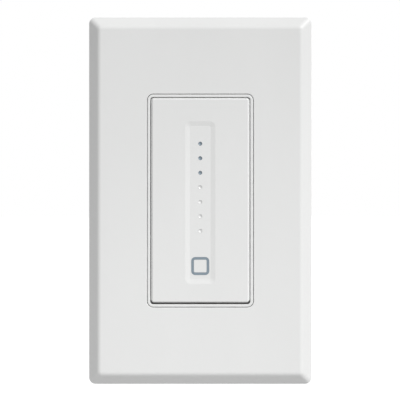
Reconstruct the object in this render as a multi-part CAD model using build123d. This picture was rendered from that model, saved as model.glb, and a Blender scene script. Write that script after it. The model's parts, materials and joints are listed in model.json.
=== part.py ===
from build123d import *
import math
import os

# Smart dimmer switch for a one-gang wall box, with a screwless wall plate.
# Lengths are in millimetres. X points right as seen from the room, Y points into the wall and Z points up.
# The wall's surface is the plane Y = 0, so everything that shows from the room has a negative Y.
# The origin is midway between the two screws that hold the switch to its wall box.

# Wall plate cover: the bevelled shell that snaps on last
COVER_WIDTH = 69.5
COVER_HEIGHT = 114.6
COVER_DEPTH = 7.0
COVER_WALL = 1.9
COVER_CORNER_RADIUS = 2.0
COVER_BEVEL = 3.0
COVER_BEVEL_BLEND = 1.9
COVER_INNER_BLEND = 0.5
OPENING_WIDTH = 33.3
OPENING_FROM_END = 23.95
OPENING_RADIUS = 2.0
OPENING_EDGE_RADIUS = 0.25
COLLAR_WALL = 1.2
COVER_RIB_WALL = 1.0
COVER_RIB_PAST_OPENING = 3.35
HOOK_WIDTH = 8.0
HOOK_DEPTH = 1.0
HOOK_REACH = 0.8
HOOK_FROM_END = 21.3
PRY_NOTCH_WIDTH = 9.0
PRY_NOTCH_DEPTH = 1.2

# Wall plate base: the flat frame that is screwed to the strap and carries the cover
BASE_THICKNESS = 1.8
BASE_GAP = 0.5
BASE_CORNER_RADIUS = 1.5
BASE_RIM_WIDTH = 1.2
BASE_RIM_HEIGHT = 0.6

# Clearances
SNAP_GAP = 0.08
SLIP_GAP = 0.2
FRAME_GAP = 0.15
THREAD_GAP = 0.05
RUNNING_GAP = 0.06
LIGHT_GUIDE_GAP = 0.03
BOARD_GAP = 0.3

# Strap: the metal yoke that is screwed to the wall box
STRAP_THICKNESS = 1.3
STRAP_SET_BACK = 0.1
STRAP_PAST_HOUSING_SIDE = 0.2
STRAP_PAST_HOUSING_END = 2.0
STRAP_STEP = 3.0
STRAP_INSIDE_COVER = 4.8
STRAP_CORNER_RADIUS = 3.0
STRAP_NECK_RADIUS = 1.4
BOX_SCREW_FROM_END = 15.63
BOX_SLOT_LENGTH = 8.4
PLATE_SCREW_FROM_END = 8.9
EAR_HOLE_RADIUS = 1.9
EAR_HOLE_FROM_SIDE = 5.8
EAR_HOLE_FROM_END = 5.9
EAR_SCORE_WIDTH = 0.8

# Screws
SCREW_RADIUS = 1.75
BOX_SCREW_LENGTH = 25.0
BOX_SCREW_NECK_RADIUS = 1.4
BOX_SCREW_THREAD_START = 1.0
BOX_SCREW_HEAD_RADIUS = 3.4
BOX_SCREW_HEAD_HEIGHT = 2.0
PLATE_SCREW_LENGTH = 8.5
PLATE_SCREW_HEAD_RADIUS = 3.3
PLATE_SCREW_HEAD_HEIGHT = 1.4
DRIVE_SLOT_WIDTH = 0.9
DRIVE_SLOT_DEPTH = 0.8
RETAINER_WIDTH = 8.0
RETAINER_THICKNESS = 0.8

# Front frame: the bezel and the tray that carry the paddle
FRAME_SET_BACK = 0.1
FRAME_RADIUS = 1.8
FRAME_RIM_WIDTH = 0.9
FRAME_EDGE_RADIUS = 0.3
FRAME_FLOOR = 1.2
FRAME_SCREW_X = 11.2
FRAME_SCREW_FROM_END = 3.75
FRAME_POST_RADIUS = 2.5
FRAME_POST_HEIGHT = 1.2
STAKE_RADIUS = 0.9
STAKE_HEAD_RADIUS = 1.6
STAKE_HEAD_HEIGHT = 0.5
STAKE_FROM_SIDE = 2.1
STAKE_FROM_SCREW = 8.2

# Paddle: the rectangular panel inside the bezel, pressed at its lower end
PADDLE_PROUD = 0.5
PADDLE_THICKNESS = 1.3
PADDLE_SIDE_GAP = 0.42
PADDLE_TOP_GAP = 0.36
PADDLE_BOTTOM_GAP = 0.55
PADDLE_RADIUS = 0.7
PADDLE_EDGE_RADIUS = 0.5
FLANGE_SET_BACK = 0.3
SKIRT_WALL = 1.0
SKIRT_DEPTH = 1.2
GROOVE_WIDTH = 9.4
GROOVE_BELOW_TOP = 7.14
GROOVE_ABOVE_BOTTOM = 5.75
GROOVE_DEPTH = 0.28
GROOVE_SLOPE = 1.45
GROOVE_RADIUS = 1.7
GROOVE_FLOOR_RADIUS = 0.55

# Row of level lights, and the square mark under it
LIGHT_COUNT = 7
LIGHT_BELOW_GROOVE_TOP = 7.0
LIGHT_RADIUS = 0.62
LIGHT_DIMPLE = 0.3
GUIDE_BAR_WIDTH = 3.4
GUIDE_BAR_THICKNESS = 1.0
GUIDE_BAR_END = 2.4
GUIDE_PIN_RADIUS = 1.0
LED_CLEARANCE = 0.9
MARK_ABOVE_GROOVE_END = 5.6
MARK_STEP_IN_PITCHES = 2.414
MARK_SIZE = 5.6
MARK_LINE = 0.8
MARK_RADIUS = 1.25
MARK_INNER_RADIUS = 0.35
MARK_DEPTH = 0.6
MARK_PILLAR_RADIUS = 0.35

# Hinge at the top of the paddle
HINGE_Y = -4.4
HINGE_FROM_TOP = 3.9
HINGE_PIN_RADIUS = 0.9
HINGE_SOCKET_X = 5.3
HINGE_SOCKET_WIDTH = 2.6
HINGE_SOCKET_WALL = 0.8
HINGE_MOUTH = 1.44
HINGE_LIP = 1.2
HINGE_LUG_WALL = 1.2
HINGE_LUG_RADIUS = 1.5

# Catches that stop the paddle at rest
CATCH_FROM_SIDE = 6.6
CATCH_ABOVE_SWITCH = 8.3
CATCH_LENGTH = 4.0
CATCH_WALL = 1.0
CATCH_LIP = 0.8
CATCH_LIP_HEIGHT = 0.7
CATCH_Y = -4.5
CATCH_SIDE_GAP = 0.4

# Return springs and tact switch under the lower end
SPRING_X = 6.2
SPRING_RADIUS = 1.9
SPRING_WIRE = 0.35
SPRING_TURNS = 3
SPRING_PEG_RADIUS = 1.1
SPRING_PEG_HEIGHT = 0.8
TACT_FROM_END = 6.0
TACT_SIZE = 5.2
TACT_HEIGHT = 2.8
TACT_PLUNGER_RADIUS = 1.4
TACT_PLUNGER_PROUD = 1.1
TACT_PLUNGER_HIDDEN = 1.1
TACT_STROKE_ROOM = 1.1
TACT_COVER_RADIUS = 0.3
PUSH_POST_RADIUS = 1.1
PUSH_GAP = 0.04

# Control board, held on the back of the frame inside the strap's window
BOARD_THICKNESS = 1.2
BOARD_PAST_STAKE = 3.3
BOARD_TONGUE_WIDTH = 12.4
TONGUE_PAST_SWITCH = 0.4
LED_WIDTH = 1.6
LED_HEIGHT = 0.8
LED_DEPTH = 0.7
MARK_LED_WIDTH = 2.0
CHIP_WIDTH = 9.9
CHIP_HEIGHT_SHARE = 0.1215
CHIP_DEPTH = 1.5
CHIP_Z_SHARE = -0.162
CHIP_LEGS = 8
MODULE_WIDTH = 16.0
MODULE_HEIGHT_SHARE = 0.486
MODULE_THICKNESS = 0.8
MODULE_BELOW_TOP = 1.7
SHIELD_WIDTH = 13.0
ANTENNA_STRIP = 8.5
SHIELD_DEPTH = 2.2
SHIELD_WALL = 0.3
HEADER_PINS = 7
HEADER_PITCH = 2.54
HEADER_WIDTH = 2.5
HEADER_DEPTH = 2.5
HEADER_PIN_RADIUS = 0.32
HEADER_Z_SHARE = -0.3685

# Rear housing
HOUSING_WIDTH = 43.6
HOUSING_FROM_BOX_SCREW = 7.67
HOUSING_DEPTH = 33.0
HOUSING_WALL = 1.8
HOUSING_DRAFT = 0.7
HOUSING_CORNER_RADIUS = 3.0
HOUSING_REAR_RADIUS = 1.2
HOUSING_RIM_DEPTH = 2.4
HOUSING_RIM_PROUD = 0.2
BOSS_RADIUS = 3.4
COUNTERBORE_DEPTH = 4.0
COUNTERBORE_RADIUS = 2.5
HOUSING_SCREW_RADIUS = 1.3
HOUSING_SCREW_HEAD_RADIUS = 2.3
HOUSING_SCREW_HEAD_HEIGHT = 1.8
HOUSING_SCREW_BITE = 1.8
LEDGE_WIDTH = 4.0
LEDGE_DEPTH = 2.0
LEDGE_FROM_END = 3.5

# Terminals on the two sides
TERMINAL_Z_SHARE = 0.147
BAY_HALF_HEIGHT = 5.5
BAY_DEPTH = 10.6
BAY_WIDTH = 7.3
BAY_WALL = 1.4
BRACKET_THICKNESS = 1.2
BRACKET_HEIGHT = 9.0
BRACKET_LENGTH = 8.2
BRACKET_TAIL_WIDTH = 3.0
TERMINAL_SCREW_RADIUS = 2.0
TERMINAL_HEAD_RADIUS = 3.6
TERMINAL_HEAD_HEIGHT = 2.2
CLAMP_SIZE = 8.0
CLAMP_THICKNESS = 1.1
WIRE_GAP = 1.9

# Ground terminal at the lower end
GROUND_TAB_WIDTH = 10.0
GROUND_TAB_LENGTH = 10.4
GROUND_SCREW_Y = 6.0
GROUND_BAY_WIDTH = 12.0
GROUND_BAY_DEPTH = 12.2
GROUND_BAY_FROM_END = 5.6
GROUND_SCREW_LENGTH = 2.4

# Power board and what stands on it
POWER_BOARD_FRONT = 13.0
POWER_BOARD_THICKNESS = 1.6
POWER_BOARD_FROM_SIDE = 2.1
POWER_BOARD_FROM_END = 8.0
LEAD_PROUD = 0.6
HEAT_TAB_FROM_SIDE = 6.6
HEAT_TAB_LENGTH = 11.0
HEAT_TAB_HEIGHT = 12.0
TRANSISTOR_BODY_HEIGHT = 9.2
TRANSISTOR_TAB_HEIGHT = 6.3
TRANSISTOR_WIDTH = 10.0
TRANSISTOR_DEPTH = 4.4
TRANSISTOR_TAB_THICKNESS = 1.3
TRANSISTOR_PAST_TAB = 0.2
TRANSISTOR_FRONT = 0.8
LEAD_PITCH = 2.54
LEAD_DROP = 2.0
LEAD_WIDTH = 0.8
LEAD_THICKNESS = 0.5
TRANSISTOR_SCREW_RADIUS = 1.5
TRANSISTOR_SCREW_HEAD_RADIUS = 2.7
TRANSISTOR_SCREW_HEAD_HEIGHT = 2.0
TRANSFORMER_WIDTH = 14.0
TRANSFORMER_LENGTH_SHARE = 0.23
TRANSFORMER_DEPTH_SHARE = 0.663
TRANSFORMER_BASE = 1.4
CORE_HEIGHT = 5.0
CORE_YOKE = 2.0
CORE_LEG = 4.0
COIL_GAP = 0.15
CHOKE_Z_SHARE = -0.229
CHOKE_RADIUS_SHARE = 0.104
CHOKE_DEPTH_SHARE = 0.542
CHOKE_FLANGE = 1.2
CHOKE_WAIST_SHARE = 0.48
CHOKE_WINDING_SHARE = 0.925
SMOOTHING_RADIUS_SHARE = 0.077
SMOOTHING_DEPTH_SHARE = 0.753
SMOOTHING_GAP = 2.0
SMOOTHING_Z_SHARE = 0.223
FILM_WIDTH = 17.5
FILM_THICKNESS_SHARE = 0.135
FILM_DEPTH_SHARE = 0.723
FILM_Z_SHARE = 0.415
VARISTOR_RADIUS_SHARE = 0.0865
VARISTOR_THICKNESS_SHARE = 0.07
VARISTOR_FROM_SIDE = 10.3
VARISTOR_Z_SHARE = -0.442
FUSE_RADIUS_SHARE = 0.05
FUSE_LENGTH = 9.0
FUSE_CAP = 2.0
FUSE_FROM_SIDE = 11.3
FUSE_Z_SHARE = -0.435

# What follows for the wall plate, the screws and the strap
COVER_FACE = -COVER_DEPTH
COVER_BACK_OF_FACE = COVER_FACE + COVER_WALL
COVER_RIB_LENGTH = OPENING_WIDTH + 2 * COVER_RIB_PAST_OPENING
OPENING_HEIGHT = COVER_HEIGHT - 2 * OPENING_FROM_END
HOOK_SIDE_Z = COVER_HEIGHT / 2 - HOOK_FROM_END
BOX_SCREW_Z = COVER_HEIGHT / 2 - BOX_SCREW_FROM_END
PLATE_SCREW_Z = COVER_HEIGHT / 2 - PLATE_SCREW_FROM_END
HOUSING_HEIGHT = 2 * (BOX_SCREW_Z - HOUSING_FROM_BOX_SCREW)
STRAP_BACK = -STRAP_SET_BACK
STRAP_FRONT = STRAP_BACK - STRAP_THICKNESS
STRAP_WIDTH = HOUSING_WIDTH + 2 * STRAP_PAST_HOUSING_SIDE
STRAP_BODY_HEIGHT = HOUSING_HEIGHT + 2 * STRAP_PAST_HOUSING_END
STRAP_END_WIDTH = STRAP_WIDTH - 2 * STRAP_STEP
STRAP_LENGTH = COVER_HEIGHT - 2 * STRAP_INSIDE_COVER
EAR_HOLE_X = STRAP_END_WIDTH / 2 - EAR_HOLE_FROM_SIDE
EAR_HOLE_Z = STRAP_LENGTH / 2 - EAR_HOLE_FROM_END
OUTSIDE_BEND_RADIUS = STRAP_THICKNESS * 0.9
BASE_BACK = STRAP_FRONT
BASE_FRONT = BASE_BACK - BASE_THICKNESS
BASE_WIDTH = COVER_WIDTH - 2 * (COVER_WALL + BASE_GAP)
BASE_HEIGHT = COVER_HEIGHT - 2 * (COVER_WALL + BASE_GAP)

# What follows for the frame and the paddle
FRAME_FACE = COVER_FACE + FRAME_SET_BACK
FRAME_BACK = STRAP_FRONT
FRAME_WIDTH = OPENING_WIDTH - 2 * FRAME_GAP
FRAME_HEIGHT = OPENING_HEIGHT - 2 * FRAME_GAP
FRAME_SCREW_Z = OPENING_HEIGHT / 2 - FRAME_SCREW_FROM_END
WELL_WIDTH = FRAME_WIDTH - 2 * FRAME_RIM_WIDTH
WELL_HEIGHT = FRAME_HEIGHT - 2 * FRAME_RIM_WIDTH
WELL_RADIUS = FRAME_RADIUS - FRAME_RIM_WIDTH
FLOOR_FRONT = FRAME_BACK - FRAME_FLOOR
PADDLE_FACE = FRAME_FACE - PADDLE_PROUD
PADDLE_BACK = PADDLE_FACE + PADDLE_THICKNESS
PADDLE_WIDTH = WELL_WIDTH - 2 * PADDLE_SIDE_GAP
PADDLE_TOP = WELL_HEIGHT / 2 - PADDLE_TOP_GAP
PADDLE_BOTTOM = PADDLE_BOTTOM_GAP - WELL_HEIGHT / 2
FLANGE_FRONT = FRAME_FACE + FLANGE_SET_BACK
GROOVE_FLOOR = PADDLE_FACE + GROOVE_DEPTH
GROOVE_TOP = PADDLE_TOP - GROOVE_BELOW_TOP
GROOVE_BOTTOM = PADDLE_BOTTOM + GROOVE_ABOVE_BOTTOM
MARK_Z = GROOVE_BOTTOM + MARK_ABOVE_GROOVE_END
LIGHT_TOP_Z = GROOVE_TOP - LIGHT_BELOW_GROOVE_TOP
LIGHT_PITCH = (LIGHT_TOP_Z - MARK_Z) / (LIGHT_COUNT - 1 + MARK_STEP_IN_PITCHES)
LIGHT_HEIGHTS = [LIGHT_TOP_Z - LIGHT_PITCH * index for index in range(LIGHT_COUNT)]
HINGE_Z = WELL_HEIGHT / 2 - HINGE_FROM_TOP
TACT_Z = TACT_FROM_END - WELL_HEIGHT / 2
CATCH_X = WELL_WIDTH / 2 - CATCH_FROM_SIDE
CATCH_Z = TACT_Z + CATCH_ABOVE_SWITCH

# What follows for the control board and the strap's tabs
HEAT_TAB_X = HOUSING_WIDTH / 2 - HEAT_TAB_FROM_SIDE
BOARD_WIDTH = 2 * (HEAT_TAB_X - STRAP_THICKNESS - 2 * BOARD_GAP)
STAKE_X = BOARD_WIDTH / 2 - STAKE_FROM_SIDE
STAKE_Z = FRAME_SCREW_Z - STAKE_FROM_SCREW
BOARD_HEIGHT = 2 * (STAKE_Z + BOARD_PAST_STAKE)
BOARD_FRONT = FRAME_BACK
BOARD_BACK = BOARD_FRONT + BOARD_THICKNESS
BOARD_TONGUE_END = TACT_Z - TACT_SIZE / 2 - TONGUE_PAST_SWITCH
LED_FRONT = BOARD_FRONT - LED_DEPTH
GUIDE_END = LED_FRONT - LED_CLEARANCE
CHIP_Z = BOARD_HEIGHT * CHIP_Z_SHARE
CHIP_HEIGHT = BOARD_HEIGHT * CHIP_HEIGHT_SHARE
MODULE_HEIGHT = BOARD_HEIGHT * MODULE_HEIGHT_SHARE
MODULE_Z = (BOARD_HEIGHT - MODULE_HEIGHT) / 2 - MODULE_BELOW_TOP
SHIELD_HEIGHT = MODULE_HEIGHT - ANTENNA_STRIP
HEADER_Z = BOARD_HEIGHT * HEADER_Z_SHARE
HEAT_TAB_HIGH = BOARD_HEIGHT / 2 + BOARD_GAP
HEAT_TAB_LOW = HEAT_TAB_HIGH - HEAT_TAB_HEIGHT
TRANSISTOR_LOW = HEAT_TAB_HIGH + TRANSISTOR_PAST_TAB - TRANSISTOR_BODY_HEIGHT - TRANSISTOR_TAB_HEIGHT
GROUND_TAB_TOP = BOARD_TONGUE_END - BOARD_GAP
GROUND_TAB_BOTTOM = GROUND_TAB_TOP - STRAP_THICKNESS

# What follows for the housing and what it holds
BOSS_FLOOR = HOUSING_DEPTH - COUNTERBORE_DEPTH
BAY_FRONT = HOUSING_DEPTH - BAY_DEPTH
BAY_INNER_X = HOUSING_WIDTH / 2 - BAY_WIDTH
TERMINAL_Z = HOUSING_HEIGHT * TERMINAL_Z_SHARE
GROUND_BAY_INNER_Z = GROUND_BAY_FROM_END - HOUSING_HEIGHT / 2
POWER_BOARD_WIDTH = HOUSING_WIDTH - 2 * POWER_BOARD_FROM_SIDE
POWER_BOARD_HEIGHT = HOUSING_HEIGHT - 2 * POWER_BOARD_FROM_END
POWER_BOARD_BACK = POWER_BOARD_FRONT + POWER_BOARD_THICKNESS
LEDGE_Z = POWER_BOARD_HEIGHT / 2 - LEDGE_FROM_END
LEAD_END = POWER_BOARD_BACK + LEAD_PROUD
ROOM_DEPTH = HOUSING_DEPTH - HOUSING_WALL - POWER_BOARD_BACK
TRANSFORMER_LENGTH = POWER_BOARD_HEIGHT * TRANSFORMER_LENGTH_SHARE
TRANSFORMER_HEIGHT = ROOM_DEPTH * TRANSFORMER_DEPTH_SHARE
CHOKE_Z = POWER_BOARD_HEIGHT * CHOKE_Z_SHARE
CHOKE_RADIUS = POWER_BOARD_HEIGHT * CHOKE_RADIUS_SHARE
CHOKE_WAIST = CHOKE_RADIUS * CHOKE_WAIST_SHARE
CHOKE_WINDING_RADIUS = CHOKE_RADIUS * CHOKE_WINDING_SHARE
CHOKE_HEIGHT = ROOM_DEPTH * CHOKE_DEPTH_SHARE
SMOOTHING_RADIUS = POWER_BOARD_HEIGHT * SMOOTHING_RADIUS_SHARE
SMOOTHING_HEIGHT = ROOM_DEPTH * SMOOTHING_DEPTH_SHARE
SMOOTHING_X = SMOOTHING_RADIUS + SMOOTHING_GAP / 2
SMOOTHING_Z = POWER_BOARD_HEIGHT * SMOOTHING_Z_SHARE
FILM_THICKNESS = POWER_BOARD_HEIGHT * FILM_THICKNESS_SHARE
FILM_HEIGHT = ROOM_DEPTH * FILM_DEPTH_SHARE
FILM_Z = POWER_BOARD_HEIGHT * FILM_Z_SHARE
VARISTOR_RADIUS = POWER_BOARD_HEIGHT * VARISTOR_RADIUS_SHARE
VARISTOR_THICKNESS = POWER_BOARD_HEIGHT * VARISTOR_THICKNESS_SHARE
VARISTOR_X = VARISTOR_FROM_SIDE - POWER_BOARD_WIDTH / 2
VARISTOR_Z = POWER_BOARD_HEIGHT * VARISTOR_Z_SHARE
FUSE_RADIUS = POWER_BOARD_HEIGHT * FUSE_RADIUS_SHARE
FUSE_X = POWER_BOARD_WIDTH / 2 - FUSE_FROM_SIDE
FUSE_Z = POWER_BOARD_HEIGHT * FUSE_Z_SHARE
TERMINALS = {
    "line": (1, TERMINAL_Z),
    "load": (1, -TERMINAL_Z),
    "neutral": (-1, TERMINAL_Z),
    "traveller": (-1, -TERMINAL_Z),
}
SIDES = {"left": -1, "right": 1}
ENDS = {"upper": 1, "lower": -1}
CORNERS = [(x, z) for x in (-1, 1) for z in (-1, 1)]
CUT_PAST = 1.0


# Building blocks


def slab(outline, front, back):
    """An outline drawn as seen from the room, made solid between two depths."""
    return extrude(Plane.XZ.offset(-back) * outline, amount=back - front)


def block(left, right, front, back, bottom, top):
    """A box given by its six limits."""
    centre = Pos((left + right) / 2, (front + back) / 2, (bottom + top) / 2)
    return centre * Box(right - left, back - front, top - bottom)


def side_block(side, inner, outer, front, back, bottom, top):
    """A box whose X limits are counted outwards from the middle, on the side -1 or 1."""
    left, right = sorted((side * inner, side * outer))
    return block(left, right, front, back, bottom, top)


def rod(radius, front, back, x=0.0, z=0.0):
    """A cylinder along Y."""
    return slab(Pos(x, z) * Circle(radius), front, back)


def side_rod(side, radius, inner, outer, y, z):
    """A cylinder along X, between two distances from the middle, on the side -1 or 1."""
    left, right = sorted((side * inner, side * outer))
    return extrude(Plane.YZ.offset(left) * Pos(y, z) * Circle(radius), amount=right - left)


def rectangle_between(left, right, bottom, top):
    """A flat rectangle given by its four limits as seen from the room."""
    return Pos((left + right) / 2, (bottom + top) / 2) * Rectangle(right - left, top - bottom)


def plate(width, height, front, back, x=0.0, z=0.0):
    """A rectangular block given by its size as seen from the room, its two depths and its middle."""
    return slab(Pos(x, z) * Rectangle(width, height), front, back)


def edges_along(shape, axis, where):
    """The straight edges of a shape that run along an axis and whose middle passes a test."""
    return [edge for edge in shape.edges().filter_by(axis) if where(edge.center())]


def near(value, target):
    """Whether two lengths agree to a hundredth of a millimetre."""
    return abs(value - target) < 0.01


# Wall plate


def bevelled_block(width, height, depth, bevel, blend):
    """A flat block against the wall whose front edges are bevelled, with mitred corners and soft edges."""
    body = chamfer(slab(Rectangle(width, height), -depth, 0).faces().sort_by(Axis.Y)[0].edges(), bevel)
    ridges = [
        edge
        for edge in body.edges()
        if min(abs(edge.tangent_at(0).X), abs(edge.tangent_at(0).Y), abs(edge.tangent_at(0).Z)) > 0.1
    ]
    return fillet(list(body.faces().sort_by(Axis.Y)[0].edges()) + ridges, blend)


def snap_hook(width):
    """A hook on a wall along X that stands at Z = 0 and faces -Z. Its flat side looks at the room."""
    front = BASE_BACK + SNAP_GAP
    reach = BASE_GAP + HOOK_REACH
    middle = front + HOOK_DEPTH / 2
    profile = Polyline((front, 0), (front, -reach), (middle, -reach), (front + HOOK_DEPTH, 0), close=True)
    return extrude(Plane.YZ * make_face(profile), amount=width / 2, both=True)


def wall_plate_cover():
    outer = bevelled_block(COVER_WIDTH, COVER_HEIGHT, COVER_DEPTH, COVER_BEVEL, COVER_BEVEL_BLEND)
    rounded = RectangleRounded(COVER_WIDTH, COVER_HEIGHT, COVER_CORNER_RADIUS)
    outer &= slab(rounded, COVER_FACE - CUT_PAST, CUT_PAST)
    inner_width = COVER_WIDTH - 2 * COVER_WALL
    inner_height = COVER_HEIGHT - 2 * COVER_WALL
    inner_bevel = COVER_BEVEL - (2 - math.sqrt(2)) * COVER_WALL
    cover = outer - bevelled_block(
        inner_width, inner_height, COVER_DEPTH - COVER_WALL, inner_bevel, COVER_INNER_BLEND
    )
    opening = RectangleRounded(OPENING_WIDTH, OPENING_HEIGHT, OPENING_RADIUS)
    collar = RectangleRounded(
        OPENING_WIDTH + 2 * COLLAR_WALL, OPENING_HEIGHT + 2 * COLLAR_WALL, OPENING_RADIUS + COLLAR_WALL
    )
    cover += slab(collar, COVER_BACK_OF_FACE, BASE_FRONT - SNAP_GAP)
    rib_z = (OPENING_HEIGHT / 2 + inner_height / 2) / 2
    for z in (-rib_z, rib_z):
        rib = Pos(0, z) * Rectangle(COVER_RIB_LENGTH, COVER_RIB_WALL)
        cover += slab(rib, COVER_BACK_OF_FACE, BASE_FRONT - BASE_RIM_HEIGHT - SNAP_GAP)
    cover -= slab(opening, COVER_FACE - CUT_PAST, CUT_PAST)
    rim = [edge for edge in cover.faces().sort_by(Axis.Y)[0].inner_wires()[0].edges()]
    cover = fillet(rim, OPENING_EDGE_RADIUS)
    hook = snap_hook(HOOK_WIDTH)
    for turn in (0, 180):
        cover += Rot(0, turn, 0) * Pos(0, 0, inner_height / 2) * hook
        for z in (-HOOK_SIDE_Z, HOOK_SIDE_Z):
            cover += Rot(0, turn + 90, 0) * Pos(z, 0, inner_width / 2) * hook
    return cover - plate(PRY_NOTCH_WIDTH, COVER_WALL, -PRY_NOTCH_DEPTH, CUT_PAST, z=-COVER_HEIGHT / 2)


def wall_plate_base():
    opening = RectangleRounded(OPENING_WIDTH, OPENING_HEIGHT, OPENING_RADIUS)
    base = slab(RectangleRounded(BASE_WIDTH, BASE_HEIGHT, BASE_CORNER_RADIUS), BASE_FRONT, BASE_BACK)
    rim_width = OPENING_WIDTH + 2 * (COLLAR_WALL + SLIP_GAP)
    rim_height = OPENING_HEIGHT + 2 * (COLLAR_WALL + SLIP_GAP)
    rim_radius = OPENING_RADIUS + COLLAR_WALL + SLIP_GAP
    rim = RectangleRounded(
        rim_width + 2 * BASE_RIM_WIDTH, rim_height + 2 * BASE_RIM_WIDTH, rim_radius + BASE_RIM_WIDTH
    ) - RectangleRounded(rim_width, rim_height, rim_radius)
    base += slab(rim, BASE_FRONT - BASE_RIM_HEIGHT, BASE_FRONT)
    front = BASE_FRONT - CUT_PAST
    base -= slab(opening, front, CUT_PAST)
    for end in ENDS.values():
        base -= rod(BOX_SCREW_HEAD_RADIUS + 2 * SLIP_GAP, front, CUT_PAST, z=end * BOX_SCREW_Z)
        base -= rod(SCREW_RADIUS + SLIP_GAP, front, CUT_PAST, z=end * PLATE_SCREW_Z)
        base -= plate_screw_head(end, SNAP_GAP)
    return base


def plate_screw_head(end, gap=0.0):
    """The countersunk head of a plate screw, wider by a gap where it is the seat for one."""
    place = Pos(0, end * PLATE_SCREW_Z)
    wide = Plane.XZ.offset(-BASE_FRONT) * place * Circle(PLATE_SCREW_HEAD_RADIUS + gap)
    narrow = Plane.XZ.offset(-BASE_FRONT - PLATE_SCREW_HEAD_HEIGHT) * place * Circle(SCREW_RADIUS + gap)
    return loft([wide, narrow])


def plate_screw(end):
    z = end * PLATE_SCREW_Z
    shank = rod(SCREW_RADIUS, BASE_FRONT + PLATE_SCREW_HEAD_HEIGHT, BASE_FRONT + PLATE_SCREW_LENGTH, z=z)
    slot_end = BASE_FRONT + DRIVE_SLOT_DEPTH
    slot = plate(2 * PLATE_SCREW_HEAD_RADIUS, DRIVE_SLOT_WIDTH, BASE_FRONT - CUT_PAST, slot_end, z=z)
    return plate_screw_head(end) + shank - slot


# Strap and its screws


def board_window(gap):
    """The control board's outline grown by a gap: a rectangle with a narrow tongue at its lower end."""
    main = Rectangle(BOARD_WIDTH + 2 * gap, BOARD_HEIGHT + 2 * gap)
    half = BOARD_TONGUE_WIDTH / 2 + gap
    return main + rectangle_between(-half, half, BOARD_TONGUE_END - gap, 0)


def is_neck(vertex):
    """Whether a vertex is an inner corner of the strap, where its body narrows to an end."""
    return near(abs(vertex.X), STRAP_END_WIDTH / 2) and near(abs(vertex.Y), STRAP_BODY_HEIGHT / 2)


def strap_outline():
    """The strap flat and whole: a wide body with a narrower end above and below."""
    outline = RectangleRounded(STRAP_WIDTH, STRAP_BODY_HEIGHT, STRAP_NECK_RADIUS)
    outline += RectangleRounded(STRAP_END_WIDTH, STRAP_LENGTH, STRAP_CORNER_RADIUS)
    return fillet([vertex for vertex in outline.vertices() if is_neck(vertex)], STRAP_NECK_RADIUS)


def mounting_strap():
    outline = strap_outline() - board_window(BOARD_GAP)
    outline -= rectangle_between(-HEAT_TAB_X, HEAT_TAB_X, HEAT_TAB_LOW, HEAT_TAB_HIGH)
    for x, z in CORNERS:
        outline -= Pos(x * FRAME_SCREW_X, z * FRAME_SCREW_Z) * Circle(HOUSING_SCREW_RADIUS + SLIP_GAP)
        outline -= Pos(x * EAR_HOLE_X, z * EAR_HOLE_Z) * Circle(EAR_HOLE_RADIUS)
        score_x = EAR_HOLE_X - EAR_HOLE_RADIUS - 2 * EAR_SCORE_WIDTH
        score_top = STRAP_LENGTH / 2 - EAR_HOLE_Z
        outline -= Pos(x * score_x, z * STRAP_LENGTH / 2) * Rectangle(EAR_SCORE_WIDTH, score_top)
    for end in ENDS.values():
        slot = SlotOverall(BOX_SLOT_LENGTH, 2 * (SCREW_RADIUS + SLIP_GAP))
        outline -= Pos(0, end * BOX_SCREW_Z) * slot
        outline -= Pos(0, end * PLATE_SCREW_Z) * Circle(SCREW_RADIUS + THREAD_GAP)
    strap = slab(outline, STRAP_FRONT, STRAP_BACK)
    inner = HEAT_TAB_X - STRAP_THICKNESS
    hole_radius = TRANSISTOR_SCREW_RADIUS + THREAD_GAP
    for side in SIDES.values():
        strap += side_block(
            side, inner, HEAT_TAB_X, STRAP_FRONT, HEAT_TAB_LENGTH, HEAT_TAB_LOW, HEAT_TAB_HIGH
        )
        bend = edges_along(strap, Axis.Z, lambda p: near(p.X, side * inner) and near(p.Y, STRAP_FRONT))
        strap = fillet(bend, OUTSIDE_BEND_RADIUS)
        strap -= side_rod(side, hole_radius, 0, HEAT_TAB_X + CUT_PAST, *transistor_screw_place())
    tab_x = GROUND_TAB_WIDTH / 2
    strap += block(-tab_x, tab_x, STRAP_FRONT, GROUND_TAB_LENGTH, GROUND_TAB_BOTTOM, GROUND_TAB_TOP)
    bend = edges_along(strap, Axis.X, lambda p: near(p.Y, STRAP_FRONT) and near(p.Z, GROUND_TAB_TOP))
    strap = fillet([edge for edge in bend if abs(edge.center().X) < tab_x], OUTSIDE_BEND_RADIUS)
    ground_hole = Cylinder(TERMINAL_SCREW_RADIUS + THREAD_GAP, 4 * STRAP_THICKNESS)
    return strap - Pos(0, GROUND_SCREW_Y, GROUND_TAB_TOP) * ground_hole


def box_screw(end):
    z = end * BOX_SCREW_Z
    head_front = STRAP_FRONT - BOX_SCREW_HEAD_HEIGHT
    head = rod(BOX_SCREW_HEAD_RADIUS, head_front, STRAP_FRONT, z=z)
    head = fillet(head.faces().sort_by(Axis.Y)[0].edges(), BOX_SCREW_HEAD_HEIGHT / 2)
    neck = rod(BOX_SCREW_NECK_RADIUS, STRAP_FRONT, BOX_SCREW_THREAD_START, z=z)
    screw = head + neck + rod(SCREW_RADIUS, BOX_SCREW_THREAD_START, BOX_SCREW_LENGTH, z=z)
    screw = chamfer(screw.faces().sort_by(Axis.Y)[-1].edges(), DRIVE_SLOT_WIDTH)
    slot = Pos(0, z) * Rectangle(2 * BOX_SCREW_HEAD_RADIUS, DRIVE_SLOT_WIDTH)
    cross = Pos(0, z) * Rectangle(DRIVE_SLOT_WIDTH, BOX_SCREW_HEAD_RADIUS)
    return screw - slab(slot + cross, head_front - CUT_PAST, head_front + DRIVE_SLOT_DEPTH)


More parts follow.
